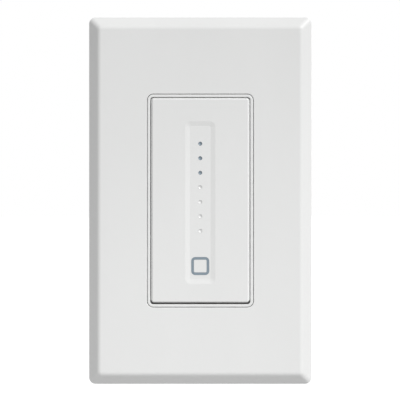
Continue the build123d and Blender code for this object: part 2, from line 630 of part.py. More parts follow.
def screw_retainer(end):
    """The square fibre washer that keeps a box screw from falling out of its slot."""
    outline = RectangleRounded(RETAINER_WIDTH, RETAINER_WIDTH, SCREW_RADIUS / 2)
    outline -= Circle(BOX_SCREW_NECK_RADIUS + THREAD_GAP)
    return slab(Pos(0, end * BOX_SCREW_Z) * outline, STRAP_BACK, STRAP_BACK + RETAINER_THICKNESS)


def binding_screw(radius, length, head_radius, head_height):
    """A slotted screw that points along -Z, with the underside of its head at Z = 0."""
    head = Pos(0, 0, head_height / 2) * Cylinder(head_radius, head_height)
    head = fillet(head.faces().sort_by(Axis.Z)[-1].edges(), head_height / 3)
    screw = head + Pos(0, 0, -length / 2) * Cylinder(radius, length)
    slot = Pos(0, 0, head_height) * Box(2 * head_radius, DRIVE_SLOT_WIDTH, 2 * DRIVE_SLOT_DEPTH)
    cross = Pos(0, 0, head_height) * Box(DRIVE_SLOT_WIDTH, head_radius, 2 * DRIVE_SLOT_DEPTH)
    return screw - slot - cross


def terminal_sized_screw(length):
    return binding_screw(TERMINAL_SCREW_RADIUS, length, TERMINAL_HEAD_RADIUS, TERMINAL_HEAD_HEIGHT)


def ground_screw():
    screw = terminal_sized_screw(GROUND_SCREW_LENGTH)
    return Pos(0, GROUND_SCREW_Y, GROUND_TAB_BOTTOM) * Rot(180, 0, 0) * screw


# Front frame


def hinge_socket(side):
    """A snap-in bearing that is open towards the room, standing on the frame's floor."""
    outer = HINGE_PIN_RADIUS + RUNNING_GAP + HINGE_SOCKET_WALL
    stem = Pos((HINGE_Y + FLOOR_FRONT) / 2, HINGE_Z) * Rectangle(FLOOR_FRONT - HINGE_Y, 2 * outer)
    profile = stem + Pos(HINGE_Y, HINGE_Z) * Circle(outer)
    profile -= Pos(HINGE_Y, HINGE_Z) * Circle(HINGE_PIN_RADIUS + RUNNING_GAP)
    profile -= Pos(HINGE_Y - outer, HINGE_Z) * Rectangle(2 * outer, HINGE_MOUTH)
    profile -= Pos(HINGE_Y - HINGE_LIP - outer / 2, HINGE_Z) * Rectangle(outer, 3 * outer)
    start = side * HINGE_SOCKET_X - HINGE_SOCKET_WIDTH / 2
    return extrude(Plane.YZ.offset(start) * profile, amount=HINGE_SOCKET_WIDTH)


def frame_catch(side):
    """The post on the frame's floor whose lip holds the paddle's hook back."""
    inner = CATCH_X + CATCH_WALL + CATCH_LIP + CATCH_SIDE_GAP
    lip_front = CATCH_Y - CATCH_LIP_HEIGHT
    bottom, top = CATCH_Z - CATCH_LENGTH, CATCH_Z
    post = side_block(side, inner, inner + CATCH_WALL, lip_front, FLOOR_FRONT, bottom, top)
    lip_reach = inner - CATCH_SIDE_GAP - CATCH_LIP / 2
    return post + side_block(side, lip_reach, inner, lip_front, CATCH_Y, bottom, top)


def front_frame():
    outline = RectangleRounded(FRAME_WIDTH, FRAME_HEIGHT, FRAME_RADIUS)
    well = RectangleRounded(WELL_WIDTH, WELL_HEIGHT, WELL_RADIUS)
    frame = slab(outline, FRAME_FACE, FRAME_BACK) - slab(well, FRAME_FACE, FLOOR_FRONT)
    frame = fillet(frame.faces().sort_by(Axis.Y)[0].edges(), FRAME_EDGE_RADIUS)
    lights_top = LIGHT_HEIGHTS[0] + LED_WIDTH
    lights_bottom = LIGHT_HEIGHTS[-1] - LED_WIDTH
    window_half = LED_WIDTH / 2 + BOARD_GAP
    windows = rectangle_between(-window_half, window_half, lights_bottom, lights_top)
    windows += Pos(0, MARK_Z) * Rectangle(MARK_LED_WIDTH + 2 * BOARD_GAP, MARK_LED_WIDTH + 2 * BOARD_GAP)
    windows += Pos(0, TACT_Z) * Rectangle(TACT_SIZE + 2 * SLIP_GAP, TACT_SIZE + 2 * SLIP_GAP)
    frame -= slab(windows, FLOOR_FRONT - CUT_PAST, FRAME_BACK + CUT_PAST)
    post_front = FLOOR_FRONT - FRAME_POST_HEIGHT
    stake_back = BOARD_BACK + STAKE_HEAD_HEIGHT
    for x, z in CORNERS:
        frame += rod(FRAME_POST_RADIUS, post_front, FLOOR_FRONT, x * FRAME_SCREW_X, z * FRAME_SCREW_Z)
        frame += rod(STAKE_RADIUS, FRAME_BACK, stake_back, x * STAKE_X, z * STAKE_Z)
        frame += rod(STAKE_HEAD_RADIUS, BOARD_BACK, stake_back, x * STAKE_X, z * STAKE_Z)
    for side in SIDES.values():
        frame += hinge_socket(side) + frame_catch(side)
        peg_front = FLOOR_FRONT - SPRING_PEG_HEIGHT
        frame += rod(SPRING_PEG_RADIUS, peg_front, FLOOR_FRONT, side * SPRING_X, TACT_Z)
    pilot_front = FRAME_BACK - HOUSING_SCREW_BITE - THREAD_GAP
    pilot = rod(HOUSING_SCREW_RADIUS + THREAD_GAP, pilot_front, FRAME_BACK + CUT_PAST)
    for x, z in CORNERS:
        frame -= Pos(x * FRAME_SCREW_X, 0, z * FRAME_SCREW_Z) * pilot
    return frame


# Paddle and what moves with it


def mark_ring(gap):
    """The square outline of the mark, wider by a gap on both of its sides."""
    outer = RectangleRounded(MARK_SIZE + 2 * gap, MARK_SIZE + 2 * gap, MARK_RADIUS + gap)
    inner_size = MARK_SIZE - 2 * MARK_LINE - 2 * gap
    return Pos(0, MARK_Z) * (outer - RectangleRounded(inner_size, inner_size, MARK_INNER_RADIUS))


def mark_pillar_places():
    """The four places where the mark's light guide passes through the paddle."""
    reach = (MARK_SIZE - MARK_LINE) / 2
    return [(0, MARK_Z - reach), (0, MARK_Z + reach), (-reach, MARK_Z), (reach, MARK_Z)]


def paddle_hook(side):
    """The hook behind the paddle that the frame's catch holds."""
    bottom, top = CATCH_Z - CATCH_LENGTH, CATCH_Z
    lip_front = CATCH_Y + SNAP_GAP
    lip_back = lip_front + CATCH_LIP_HEIGHT
    outer = CATCH_X + CATCH_WALL
    hook = side_block(side, CATCH_X, outer, PADDLE_BACK, lip_back, bottom, top)
    return hook + side_block(side, outer, outer + CATCH_LIP, lip_front, lip_back, bottom, top)


def hinge_lugs(side):
    """Two ribs behind the paddle with the hinge pin between them."""
    middle = HINGE_SOCKET_X
    inner = middle - HINGE_SOCKET_WIDTH / 2 - SLIP_GAP - HINGE_LUG_WALL
    outer = middle + HINGE_SOCKET_WIDTH / 2 + SLIP_GAP + HINGE_LUG_WALL
    lug = Rectangle(HINGE_Y - PADDLE_BACK, 2 * HINGE_LUG_RADIUS)
    profile = Pos((HINGE_Y + PADDLE_BACK) / 2, HINGE_Z) * lug
    profile += Pos(HINGE_Y, HINGE_Z) * Circle(HINGE_LUG_RADIUS)
    pin = side_rod(side, HINGE_PIN_RADIUS, inner, outer, HINGE_Y, HINGE_Z)
    for start in (inner, outer - HINGE_LUG_WALL):
        left = min(side * start, side * (start + HINGE_LUG_WALL))
        pin += extrude(Plane.YZ.offset(left) * profile, amount=HINGE_LUG_WALL)
    return pin


def push_post():
    """The round-ended post that presses the tact switch."""
    tip = TACT_TOP - PUSH_GAP
    post = rod(PUSH_POST_RADIUS, PADDLE_BACK, tip, z=TACT_Z)
    return fillet(post.faces().sort_by(Axis.Y)[-1].edges(), min(PUSH_POST_RADIUS, tip - PADDLE_BACK) * 0.9)


def finger_groove():
    """The shallow trough down the paddle's face, with sloping sides."""
    height = GROOVE_TOP - GROOVE_BOTTOM
    wide = RectangleRounded(GROOVE_WIDTH, height, GROOVE_RADIUS)
    floor_width = GROOVE_WIDTH - 2 * GROOVE_SLOPE
    narrow = RectangleRounded(floor_width, height - 2 * GROOVE_SLOPE, GROOVE_FLOOR_RADIUS)
    place = Pos(0, (GROOVE_TOP + GROOVE_BOTTOM) / 2)
    mouth = Plane.XZ.offset(-PADDLE_FACE) * place * wide
    return loft([mouth, Plane.XZ.offset(-GROOVE_FLOOR) * place * narrow])


def paddle_flange():
    """The ledge that half closes the gap beside and above the paddle, but not the gap below it."""
    width, height = WELL_WIDTH - 2 * SLIP_GAP, WELL_HEIGHT - 2 * SLIP_GAP
    ledge = RectangleRounded(width, height, WELL_RADIUS)
    ledge -= rectangle_between(-WELL_WIDTH, WELL_WIDTH, -WELL_HEIGHT, PADDLE_BOTTOM + PADDLE_RADIUS)
    return slab(ledge, FLANGE_FRONT, PADDLE_BACK)


def dimmer_paddle():
    height = PADDLE_TOP - PADDLE_BOTTOM
    outline = RectangleRounded(PADDLE_WIDTH, height, PADDLE_RADIUS)
    inside = Rectangle(PADDLE_WIDTH - 2 * SKIRT_WALL, height - 2 * SKIRT_WALL)
    skirt_back = PADDLE_BACK + SKIRT_DEPTH
    paddle = slab(outline, PADDLE_FACE, skirt_back)
    paddle = fillet(paddle.faces().sort_by(Axis.Y)[0].edges(), PADDLE_EDGE_RADIUS)
    paddle -= slab(inside, PADDLE_BACK, skirt_back)
    paddle = Pos(0, 0, (PADDLE_TOP + PADDLE_BOTTOM) / 2) * paddle
    paddle += paddle_flange()
    paddle -= finger_groove()
    for z in LIGHT_HEIGHTS:
        paddle -= rod(LIGHT_RADIUS, PADDLE_FACE - CUT_PAST, PADDLE_BACK + CUT_PAST, z=z)
    paddle -= slab(mark_ring(LIGHT_GUIDE_GAP), PADDLE_FACE - CUT_PAST, GROOVE_FLOOR + MARK_DEPTH)
    for x, z in mark_pillar_places():
        paddle -= rod(MARK_PILLAR_RADIUS + LIGHT_GUIDE_GAP, GROOVE_FLOOR, PADDLE_BACK + CUT_PAST, x, z)
    peg = rod(SPRING_PEG_RADIUS, PADDLE_BACK, PADDLE_BACK + SPRING_PEG_HEIGHT)
    for side in SIDES.values():
        paddle += hinge_lugs(side) + paddle_hook(side)
        paddle += Pos(side * SPRING_X, 0, TACT_Z) * peg
    return paddle + push_post()


def level_light_guide():
    """The clear comb behind the paddle whose pins end in the seven dimples."""
    top = LIGHT_HEIGHTS[0] + GUIDE_BAR_END
    bottom = LIGHT_HEIGHTS[-1] - GUIDE_BAR_END
    bar_back = PADDLE_BACK + GUIDE_BAR_THICKNESS
    bar = rectangle_between(-GUIDE_BAR_WIDTH / 2, GUIDE_BAR_WIDTH / 2, bottom, top)
    guide = slab(bar, PADDLE_BACK, bar_back)
    pin_radius = LIGHT_RADIUS - LIGHT_GUIDE_GAP
    dimple_radius = (pin_radius**2 + LIGHT_DIMPLE**2) / (2 * LIGHT_DIMPLE)
    for z in LIGHT_HEIGHTS:
        guide += rod(GUIDE_PIN_RADIUS, bar_back, GUIDE_END, z=z)
        guide += rod(pin_radius, GROOVE_FLOOR, PADDLE_BACK, z=z)
        guide -= Pos(0, GROOVE_FLOOR + LIGHT_DIMPLE - dimple_radius, z) * Sphere(dimple_radius)
    return guide


def power_mark_light_guide():
    """The light guide whose front edge is the square outline in the groove."""
    guide = slab(mark_ring(0), GROOVE_FLOOR, GROOVE_FLOOR + MARK_DEPTH)
    for x, z in mark_pillar_places():
        guide += rod(MARK_PILLAR_RADIUS, GROOVE_FLOOR + MARK_DEPTH, PADDLE_BACK, x, z)
    plate = Pos(0, MARK_Z) * RectangleRounded(MARK_SIZE, MARK_SIZE, MARK_RADIUS)
    plate_back = PADDLE_BACK + GUIDE_BAR_THICKNESS
    guide += slab(plate, PADDLE_BACK, plate_back)
    return guide + rod(GUIDE_PIN_RADIUS, plate_back, GUIDE_END, z=MARK_Z)


def paddle_spring(side):
    """A compression spring between the frame's floor and the paddle."""
    length = FLOOR_FRONT - PADDLE_BACK - SPRING_WIRE
    coil_radius = SPRING_RADIUS - SPRING_WIRE / 2
    path = Helix(pitch=length / SPRING_TURNS, height=length, radius=coil_radius)
    wire = sweep(Plane(origin=path @ 0, z_dir=path % 0) * Circle(SPRING_WIRE / 2), path=path)
    return Pos(side * SPRING_X, FLOOR_FRONT - SPRING_WIRE / 2, TACT_Z) * Rot(90, 0, 0) * wire


# Control board


TACT_FRONT = BOARD_FRONT - TACT_HEIGHT
TACT_TOP = TACT_FRONT - TACT_PLUNGER_PROUD


def control_board():
    board = slab(board_window(0), BOARD_FRONT, BOARD_BACK)
    for x, z in CORNERS:
        board -= rod(STAKE_RADIUS + THREAD_GAP, BOARD_FRONT, BOARD_BACK, x * STAKE_X, z * STAKE_Z)
    for x in header_pin_places():
        board -= rod(HEADER_PIN_RADIUS + THREAD_GAP, BOARD_FRONT, BOARD_BACK, x, HEADER_Z)
    return board


def level_led(index):
    return plate(LED_WIDTH, LED_HEIGHT, LED_FRONT, BOARD_FRONT, z=LIGHT_HEIGHTS[index])


def power_mark_led():
    return plate(MARK_LED_WIDTH, MARK_LED_WIDTH, LED_FRONT, BOARD_FRONT, z=MARK_Z)


def tact_switch_body():
    """The switch's case, with the round well that its plunger slides in."""
    case = plate(TACT_SIZE, TACT_SIZE, TACT_FRONT, BOARD_FRONT, z=TACT_Z)
    case = fillet(case.faces().sort_by(Axis.Y)[0].edges(), TACT_COVER_RADIUS)
    well_end = TACT_TOP + TACT_PLUNGER_PROUD + TACT_PLUNGER_HIDDEN + TACT_STROKE_ROOM
    return case - rod(TACT_PLUNGER_RADIUS + RUNNING_GAP, TACT_FRONT - CUT_PAST, well_end, z=TACT_Z)


def tact_switch_plunger():
    return rod(TACT_PLUNGER_RADIUS, TACT_TOP, TACT_FRONT + TACT_PLUNGER_HIDDEN, z=TACT_Z)


def touch_chip():
    """The flat chip that reads the slider, with its two rows of legs."""
    leg = CHIP_DEPTH / 3
    case_height = CHIP_HEIGHT - 2 * leg
    chip = plate(CHIP_WIDTH, case_height, BOARD_BACK + leg / 2, BOARD_BACK + CHIP_DEPTH, z=CHIP_Z)
    pitch = CHIP_WIDTH / CHIP_LEGS
    for index in range(CHIP_LEGS):
        x = (index - (CHIP_LEGS - 1) / 2) * pitch
        chip += plate(pitch / 3, CHIP_HEIGHT, BOARD_BACK, BOARD_BACK + leg, x, CHIP_Z)
    return chip


def wireless_module():
    return plate(MODULE_WIDTH, MODULE_HEIGHT, BOARD_BACK, BOARD_BACK + MODULE_THICKNESS, z=MODULE_Z)


def wireless_shield():
    """The pressed metal can over the radio, open towards its board."""
    front = BOARD_BACK + MODULE_THICKNESS
    back = front + SHIELD_DEPTH
    z = MODULE_Z - ANTENNA_STRIP / 2 + SHIELD_WALL
    can = slab(RectangleRounded(SHIELD_WIDTH, SHIELD_HEIGHT, SHIELD_WALL), front, back)
    can -= plate(SHIELD_WIDTH - 2 * SHIELD_WALL, SHIELD_HEIGHT - 2 * SHIELD_WALL, front, back - SHIELD_WALL)
    return Pos(0, 0, z) * can


def header_pin_places():
    return [(index - (HEADER_PINS - 1) / 2) * HEADER_PITCH for index in range(HEADER_PINS)]


def board_header():
    """The pin strip that joins the two boards."""
    length = HEADER_PINS * HEADER_PITCH
    strip = plate(length, HEADER_WIDTH, BOARD_BACK, BOARD_BACK + HEADER_DEPTH, z=HEADER_Z)
    for x in header_pin_places():
        strip += rod(HEADER_PIN_RADIUS, BOARD_FRONT, LEAD_END, x, HEADER_Z)
    return strip


# Rear housing and its screws


def bay_cutter(side, z):
    """The space of one terminal bay, open to the side and to the rear."""
    bottom, top = z - BAY_HALF_HEIGHT, z + BAY_HALF_HEIGHT
    return side_block(side, BAY_INNER_X, HOUSING_WIDTH, BAY_FRONT, HOUSING_DEPTH + CUT_PAST, bottom, top)


def bay_walls(side, z):
    """The walls that close a terminal bay off from the inside of the housing."""
    half = BAY_HALF_HEIGHT + BAY_WALL
    outer = HOUSING_WIDTH / 2 - HOUSING_WALL / 2
    back = HOUSING_DEPTH - HOUSING_WALL / 2
    return side_block(side, BAY_INNER_X - BAY_WALL, outer, BAY_FRONT - BAY_WALL, back, z - half, z + half)


def screw_boss(x, z):
    """The column in a corner that a housing screw goes through."""
    back = HOUSING_DEPTH - HOUSING_WALL / 2
    return rod(BOSS_RADIUS, STRAP_BACK, back, x * FRAME_SCREW_X, z * FRAME_SCREW_Z)


def board_ledge(side, end, inner_x):
    """A short ledge on a side wall that the power board rests against."""
    bottom, top = end * LEDGE_Z - LEDGE_WIDTH / 2, end * LEDGE_Z + LEDGE_WIDTH / 2
    back = POWER_BOARD_BACK + LEDGE_WIDTH / 2
    outer = inner_x + HOUSING_WALL / 2
    return side_block(side, inner_x - LEDGE_DEPTH, outer, POWER_BOARD_BACK, back, bottom, top)


def rear_housing():
    outline = RectangleRounded(HOUSING_WIDTH, HOUSING_HEIGHT, HOUSING_CORNER_RADIUS)
    shell = extrude(Plane.XZ * outline, amount=-HOUSING_DEPTH, taper=HOUSING_DRAFT)
    shell = fillet(shell.faces().sort_by(Axis.Y)[-1].edges(), HOUSING_REAR_RADIUS)
    rim = RectangleRounded(
        HOUSING_WIDTH + 2 * HOUSING_RIM_PROUD, HOUSING_HEIGHT + 2 * HOUSING_RIM_PROUD, HOUSING_CORNER_RADIUS
    )
    shell += slab(rim, STRAP_BACK, HOUSING_RIM_DEPTH)
    inner_x = HOUSING_WIDTH / 2 - HOUSING_WALL
    inner_z = HOUSING_HEIGHT / 2 - HOUSING_WALL
    inner_back = HOUSING_DEPTH - HOUSING_WALL
    shell -= block(-inner_x, inner_x, STRAP_BACK - CUT_PAST, inner_back, -inner_z, inner_z)
    for x, z in CORNERS:
        shell += screw_boss(x, z) + board_ledge(x, z, inner_x)
    for side, z in TERMINALS.values():
        shell += bay_walls(side, z)
    ground_x = GROUND_BAY_WIDTH / 2
    shell += block(
        -ground_x - BAY_WALL,
        ground_x + BAY_WALL,
        STRAP_BACK,
        GROUND_BAY_DEPTH + BAY_WALL,
        -inner_z - HOUSING_WALL / 2,
        GROUND_BAY_INNER_Z + BAY_WALL,
    )
    front = STRAP_BACK - CUT_PAST
    shell -= block(-ground_x, ground_x, front, GROUND_BAY_DEPTH, -HOUSING_HEIGHT, GROUND_BAY_INNER_Z)
    for x, z in CORNERS:
        boss_x, boss_z = x * FRAME_SCREW_X, z * FRAME_SCREW_Z
        shell -= rod(HOUSING_SCREW_RADIUS + SLIP_GAP, front, BOSS_FLOOR, boss_x, boss_z)
        shell -= rod(COUNTERBORE_RADIUS, BOSS_FLOOR, HOUSING_DEPTH + CUT_PAST, boss_x, boss_z)
    tail = BRACKET_TAIL_WIDTH / 2 + SLIP_GAP
    tail_outer = BAY_INNER_X + BRACKET_THICKNESS + SLIP_GAP
    slit_front = BAY_FRONT - BAY_WALL - CUT_PAST
    for side, z in TERMINALS.values():
        shell -= bay_cutter(side, z)
        shell -= side_block(side, BAY_INNER_X, tail_outer, slit_front, BAY_FRONT, z - tail, z + tail)
    return shell


def housing_screws():
    """The four screws that clamp the housing, the strap and the frame together."""
    screws = []
    for x, z in CORNERS:
        head_back = BOSS_FLOOR + HOUSING_SCREW_HEAD_HEIGHT
        head = rod(HOUSING_SCREW_HEAD_RADIUS, BOSS_FLOOR, head_back)
        screw = head + rod(HOUSING_SCREW_RADIUS, FRAME_BACK - HOUSING_SCREW_BITE, BOSS_FLOOR)
        cross = Rectangle(HOUSING_SCREW_HEAD_RADIUS, DRIVE_SLOT_WIDTH / 2)
        cross += Rectangle(DRIVE_SLOT_WIDTH / 2, HOUSING_SCREW_HEAD_RADIUS)
        screw -= slab(cross, head_back - DRIVE_SLOT_DEPTH, head_back + CUT_PAST)
        screws.append(Pos(x * FRAME_SCREW_X, 0, z * FRAME_SCREW_Z) * screw)
    return Compound(children=screws)


# Terminals


TERMINAL_Y = BAY_FRONT + SLIP_GAP + BRACKET_LENGTH / 2
CLAMP_INNER_X = BAY_INNER_X + BRACKET_THICKNESS + WIRE_GAP
HEAD_INNER_X = CLAMP_INNER_X + CLAMP_THICKNESS


def terminal_bracket(side, z):
    """The threaded brass plate behind a terminal screw, with a tail that is soldered to the power board."""
    outer = BAY_INNER_X + BRACKET_THICKNESS
    half = BRACKET_HEIGHT / 2
    front = TERMINAL_Y - BRACKET_LENGTH / 2
    tail = BRACKET_TAIL_WIDTH / 2
    plate = side_block(side, BAY_INNER_X, outer, front, front + BRACKET_LENGTH, z - half, z + half)
    plate += side_block(side, BAY_INNER_X, outer, POWER_BOARD_FRONT - LEAD_PROUD, front, z - tail, z + tail)
    return plate - side_rod(side, TERMINAL_SCREW_RADIUS + THREAD_GAP, 0, HOUSING_WIDTH, TERMINAL_Y, z)


def terminal_clamp(side, z):
    """The square plate under a terminal screw's head that presses the wire."""
    half = CLAMP_SIZE / 2
    plate = side_block(
        side, CLAMP_INNER_X, HEAD_INNER_X, TERMINAL_Y - half, TERMINAL_Y + half, z - half, z + half
    )
    return plate - side_rod(side, TERMINAL_SCREW_RADIUS + THREAD_GAP, 0, HOUSING_WIDTH, TERMINAL_Y, z)


def terminal_screw(side, z):
    screw = terminal_sized_screw(HEAD_INNER_X - BAY_INNER_X - SLIP_GAP)
    return Pos(side * HEAD_INNER_X, TERMINAL_Y, z) * Rot(0, side * 90, 0) * screw


# Power board


def transistor_screw_place():
    """The Y and Z of the screw that holds a power transistor to its heat tab."""
    return (
        TRANSISTOR_FRONT + TRANSISTOR_WIDTH / 2,
        TRANSISTOR_LOW + TRANSISTOR_BODY_HEIGHT + TRANSISTOR_TAB_HEIGHT / 2,
    )


def transistor_lead_places():
    """The Y where each lead leaves the transistor and the Z where it turns towards the board."""
    middle_y = TRANSISTOR_FRONT + TRANSISTOR_WIDTH / 2
    middle_z = TRANSISTOR_LOW - LEAD_DROP
    return [(middle_y + index * LEAD_PITCH, middle_z + index * 2 * LEAD_WIDTH) for index in (-1, 0, 1)]


def power_board():
    board = plate(POWER_BOARD_WIDTH, POWER_BOARD_HEIGHT, POWER_BOARD_FRONT, POWER_BOARD_BACK)
    slot_width, slot_height = BRACKET_THICKNESS + 2 * THREAD_GAP, BRACKET_TAIL_WIDTH + 2 * THREAD_GAP
    slot = plate(slot_width, slot_height, POWER_BOARD_FRONT, POWER_BOARD_BACK)
    for side, z in TERMINALS.values():
        board -= Pos(side * (BAY_INNER_X + BRACKET_THICKNESS / 2), 0, z) * slot
    for x in header_pin_places():
        board -= rod(HEADER_PIN_RADIUS + THREAD_GAP, POWER_BOARD_FRONT, POWER_BOARD_BACK, x, HEADER_Z)
    for side in SIDES.values():
        for _, z in transistor_lead_places():
            x = side * lead_x()
            board -= rod(LEAD_WIDTH / 2 + SLIP_GAP, POWER_BOARD_FRONT, POWER_BOARD_BACK, x, z)
    return board


def lead_x():
    """How far from the middle a transistor's leads run."""
    return HEAT_TAB_X + TRANSISTOR_DEPTH * 0.55


def power_transistor(side):
    """A transistor that lies against the strap's heat tab, its leads bent back to the power board."""
    low, body_top = TRANSISTOR_LOW, TRANSISTOR_LOW + TRANSISTOR_BODY_HEIGHT
    front, back = TRANSISTOR_FRONT, TRANSISTOR_FRONT + TRANSISTOR_WIDTH
    tab_outer, tab_top = HEAT_TAB_X + TRANSISTOR_TAB_THICKNESS, body_top + TRANSISTOR_TAB_HEIGHT
    body = side_block(side, HEAT_TAB_X, HEAT_TAB_X + TRANSISTOR_DEPTH, front, back, low, body_top)
    body += side_block(side, HEAT_TAB_X, tab_outer, front, back, body_top, tab_top)
    hole_radius = TRANSISTOR_SCREW_RADIUS + THREAD_GAP
    body -= side_rod(side, hole_radius, 0, HOUSING_WIDTH, *transistor_screw_place())
    half, thin = LEAD_WIDTH / 2, LEAD_THICKNESS / 2
    inner, outer = lead_x() - thin, lead_x() + thin
    for y, z in transistor_lead_places():
        body += side_block(side, inner, outer, y - half, y + half, z - half, low)
        body += side_block(side, inner, outer, y - half, LEAD_END, z - half, z + half)
    return body


def transistor_screw(side):
    length = TRANSISTOR_TAB_THICKNESS + STRAP_THICKNESS + LEAD_PROUD
    screw = binding_screw(
        TRANSISTOR_SCREW_RADIUS, length, TRANSISTOR_SCREW_HEAD_RADIUS, TRANSISTOR_SCREW_HEAD_HEIGHT
    )
    y, z = transistor_screw_place()
    return Pos(side * (HEAT_TAB_X + TRANSISTOR_TAB_THICKNESS), y, z) * Rot(0, side * 90, 0) * screw


CORE_FRONT = POWER_BOARD_BACK + TRANSFORMER_BASE
CORE_BACK = CORE_FRONT + TRANSFORMER_HEIGHT


def core_windows():
    """The two gaps in the transformer's core that its winding passes through."""
    outer = TRANSFORMER_WIDTH / 2 - CORE_YOKE
    half = CORE_HEIGHT / 2 + CUT_PAST
    return [
        side_block(side, CORE_LEG / 2, outer, CORE_FRONT + CORE_YOKE, CORE_BACK - CORE_YOKE, -half, half)
        for side in SIDES.values()
    ]


def transformer_core():
    half = TRANSFORMER_WIDTH / 2
    core = block(-half, half, CORE_FRONT, CORE_BACK, -CORE_HEIGHT / 2, CORE_HEIGHT / 2)
    return core - core_windows()


def transformer_coil():
    """The bobbin's foot and the winding round the core's middle leg."""
    foot_x, foot_z = TRANSFORMER_WIDTH / 2, TRANSFORMER_LENGTH / 2
    foot = block(-foot_x, foot_x, POWER_BOARD_BACK, CORE_FRONT, -foot_z, foot_z)
    coil_x = TRANSFORMER_WIDTH / 2 - CORE_YOKE - COIL_GAP
    coil_front, coil_back = CORE_FRONT + CORE_YOKE + COIL_GAP, CORE_BACK - CORE_YOKE - COIL_GAP
    coil = block(-coil_x, coil_x, coil_front, coil_back, -foot_z, foot_z)
    leg_x, leg_z = CORE_LEG / 2 + COIL_GAP, CORE_HEIGHT / 2 + COIL_GAP
    coil -= block(-leg_x, leg_x, coil_front, coil_back, -leg_z, leg_z)
    corners = coil.edges().filter_by(Axis.Y).filter_by(lambda edge: near(abs(edge.center().Z), foot_z))
    coil = fillet(corners, CORE_LEG / 3)
    for end in ENDS.values():
        bottom, top = sorted((end * leg_z, end * foot_z))
        coil += block(-leg_x, leg_x, CORE_FRONT, coil_front, bottom, top)
    return foot + coil


def choke_core():
    """A ferrite drum with two flanges and a waist."""
    front, back = POWER_BOARD_BACK, POWER_BOARD_BACK + CHOKE_HEIGHT
    core = rod(CHOKE_WAIST, front, back, z=CHOKE_Z)
    core += rod(CHOKE_RADIUS, front, front + CHOKE_FLANGE, z=CHOKE_Z)
    return core + rod(CHOKE_RADIUS, back - CHOKE_FLANGE, back, z=CHOKE_Z)


def choke_winding():
    front = POWER_BOARD_BACK + CHOKE_FLANGE
    back = POWER_BOARD_BACK + CHOKE_HEIGHT - CHOKE_FLANGE
    return rod(CHOKE_WINDING_RADIUS, front, back, z=CHOKE_Z) - rod(CHOKE_WAIST, front, back, z=CHOKE_Z)


def smoothing_capacitor(side):
    """An electrolytic capacitor that stands on the power board."""
    back = POWER_BOARD_BACK + SMOOTHING_HEIGHT
    can = rod(SMOOTHING_RADIUS, POWER_BOARD_BACK, back, side * SMOOTHING_X, SMOOTHING_Z)
    can = fillet(can.edges().filter_by(GeomType.CIRCLE), SMOOTHING_RADIUS / 10)
    return can


def film_capacitor():
    case = plate(FILM_WIDTH, FILM_THICKNESS, POWER_BOARD_BACK, POWER_BOARD_BACK + FILM_HEIGHT, z=FILM_Z)
    return fillet(case.edges().filter_by(Axis.Y), FILM_THICKNESS / 12)


def varistor():
    """A disc that stands on edge on the power board."""
    disc = Cylinder(VARISTOR_RADIUS, VARISTOR_THICKNESS)
    disc = fillet(disc.edges().filter_by(GeomType.CIRCLE), VARISTOR_THICKNESS / 3)
    return Pos(VARISTOR_X, POWER_BOARD_BACK + VARISTOR_RADIUS, VARISTOR_Z) * disc


def fuse():
    """A sleeve fuse that lies across the power board."""
    y = POWER_BOARD_BACK + FUSE_RADIUS
    start = FUSE_X - FUSE_LENGTH / 2
    body = extrude(Plane.YZ.offset(start) * Pos(y, FUSE_Z) * Circle(FUSE_RADIUS * 0.9), amount=FUSE_LENGTH)
    for left in (start, start + FUSE_LENGTH - FUSE_CAP):
        body += extrude(Plane.YZ.offset(left) * Pos(y, FUSE_Z) * Circle(FUSE_RADIUS), amount=FUSE_CAP)
    return body


# Every piece by name


PIECES = {
    "wall_plate_cover": wall_plate_cover(),
    "wall_plate_base": wall_plate_base(),
    "mounting_strap": mounting_strap(),
    "ground_screw": ground_screw(),
    "front_frame": front_frame(),
    "dimmer_paddle": dimmer_paddle(),
    "level_light_guide": level_light_guide(),
    "power_mark_light_guide": power_mark_light_guide(),
    "control_board": control_board(),
    "power_mark_led": power_mark_led(),
    "tact_switch_body": tact_switch_body(),
    "tact_switch_plunger": tact_switch_plunger(),
    "touch_chip": touch_chip(),
    "wireless_module": wireless_module(),
    "wireless_shield": wireless_shield(),
    "board_header": board_header(),
    "power_board": power_board(),
    "transformer_core": transformer_core(),
    "transformer_coil": transformer_coil(),
    "choke_core": choke_core(),
    "choke_winding": choke_winding(),
    "film_capacitor": film_capacitor(),
    "varistor": varistor(),
    "fuse": fuse(),
    "rear_housing": rear_housing(),
    "housing_screws": housing_screws(),
}
for name, end in ENDS.items():
    PIECES[f"plate_screw_{name}"] = plate_screw(end)
    PIECES[f"box_screw_{name}"] = box_screw(end)
    PIECES[f"screw_retainer_{name}"] = screw_retainer(end)
for name, side in SIDES.items():
    PIECES[f"paddle_spring_{name}"] = paddle_spring(side)
    PIECES[f"power_transistor_{name}"] = power_transistor(side)
    PIECES[f"transistor_screw_{name}"] = transistor_screw(side)
    PIECES[f"smoothing_capacitor_{name}"] = smoothing_capacitor(side)
for index in range(LIGHT_COUNT):
    PIECES[f"level_led_{index + 1}"] = level_led(index)
for name, (side, z) in TERMINALS.items():
    PIECES[f"terminal_bracket_{name}"] = terminal_bracket(side, z)
    PIECES[f"terminal_clamp_{name}"] = terminal_clamp(side, z)
    PIECES[f"terminal_screw_{name}"] = terminal_screw(side, z)

os.makedirs("parts", exist_ok=True)
for name, shape in PIECES.items():
    export_step(shape, f"parts/{name}.step")
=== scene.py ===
import json
import math

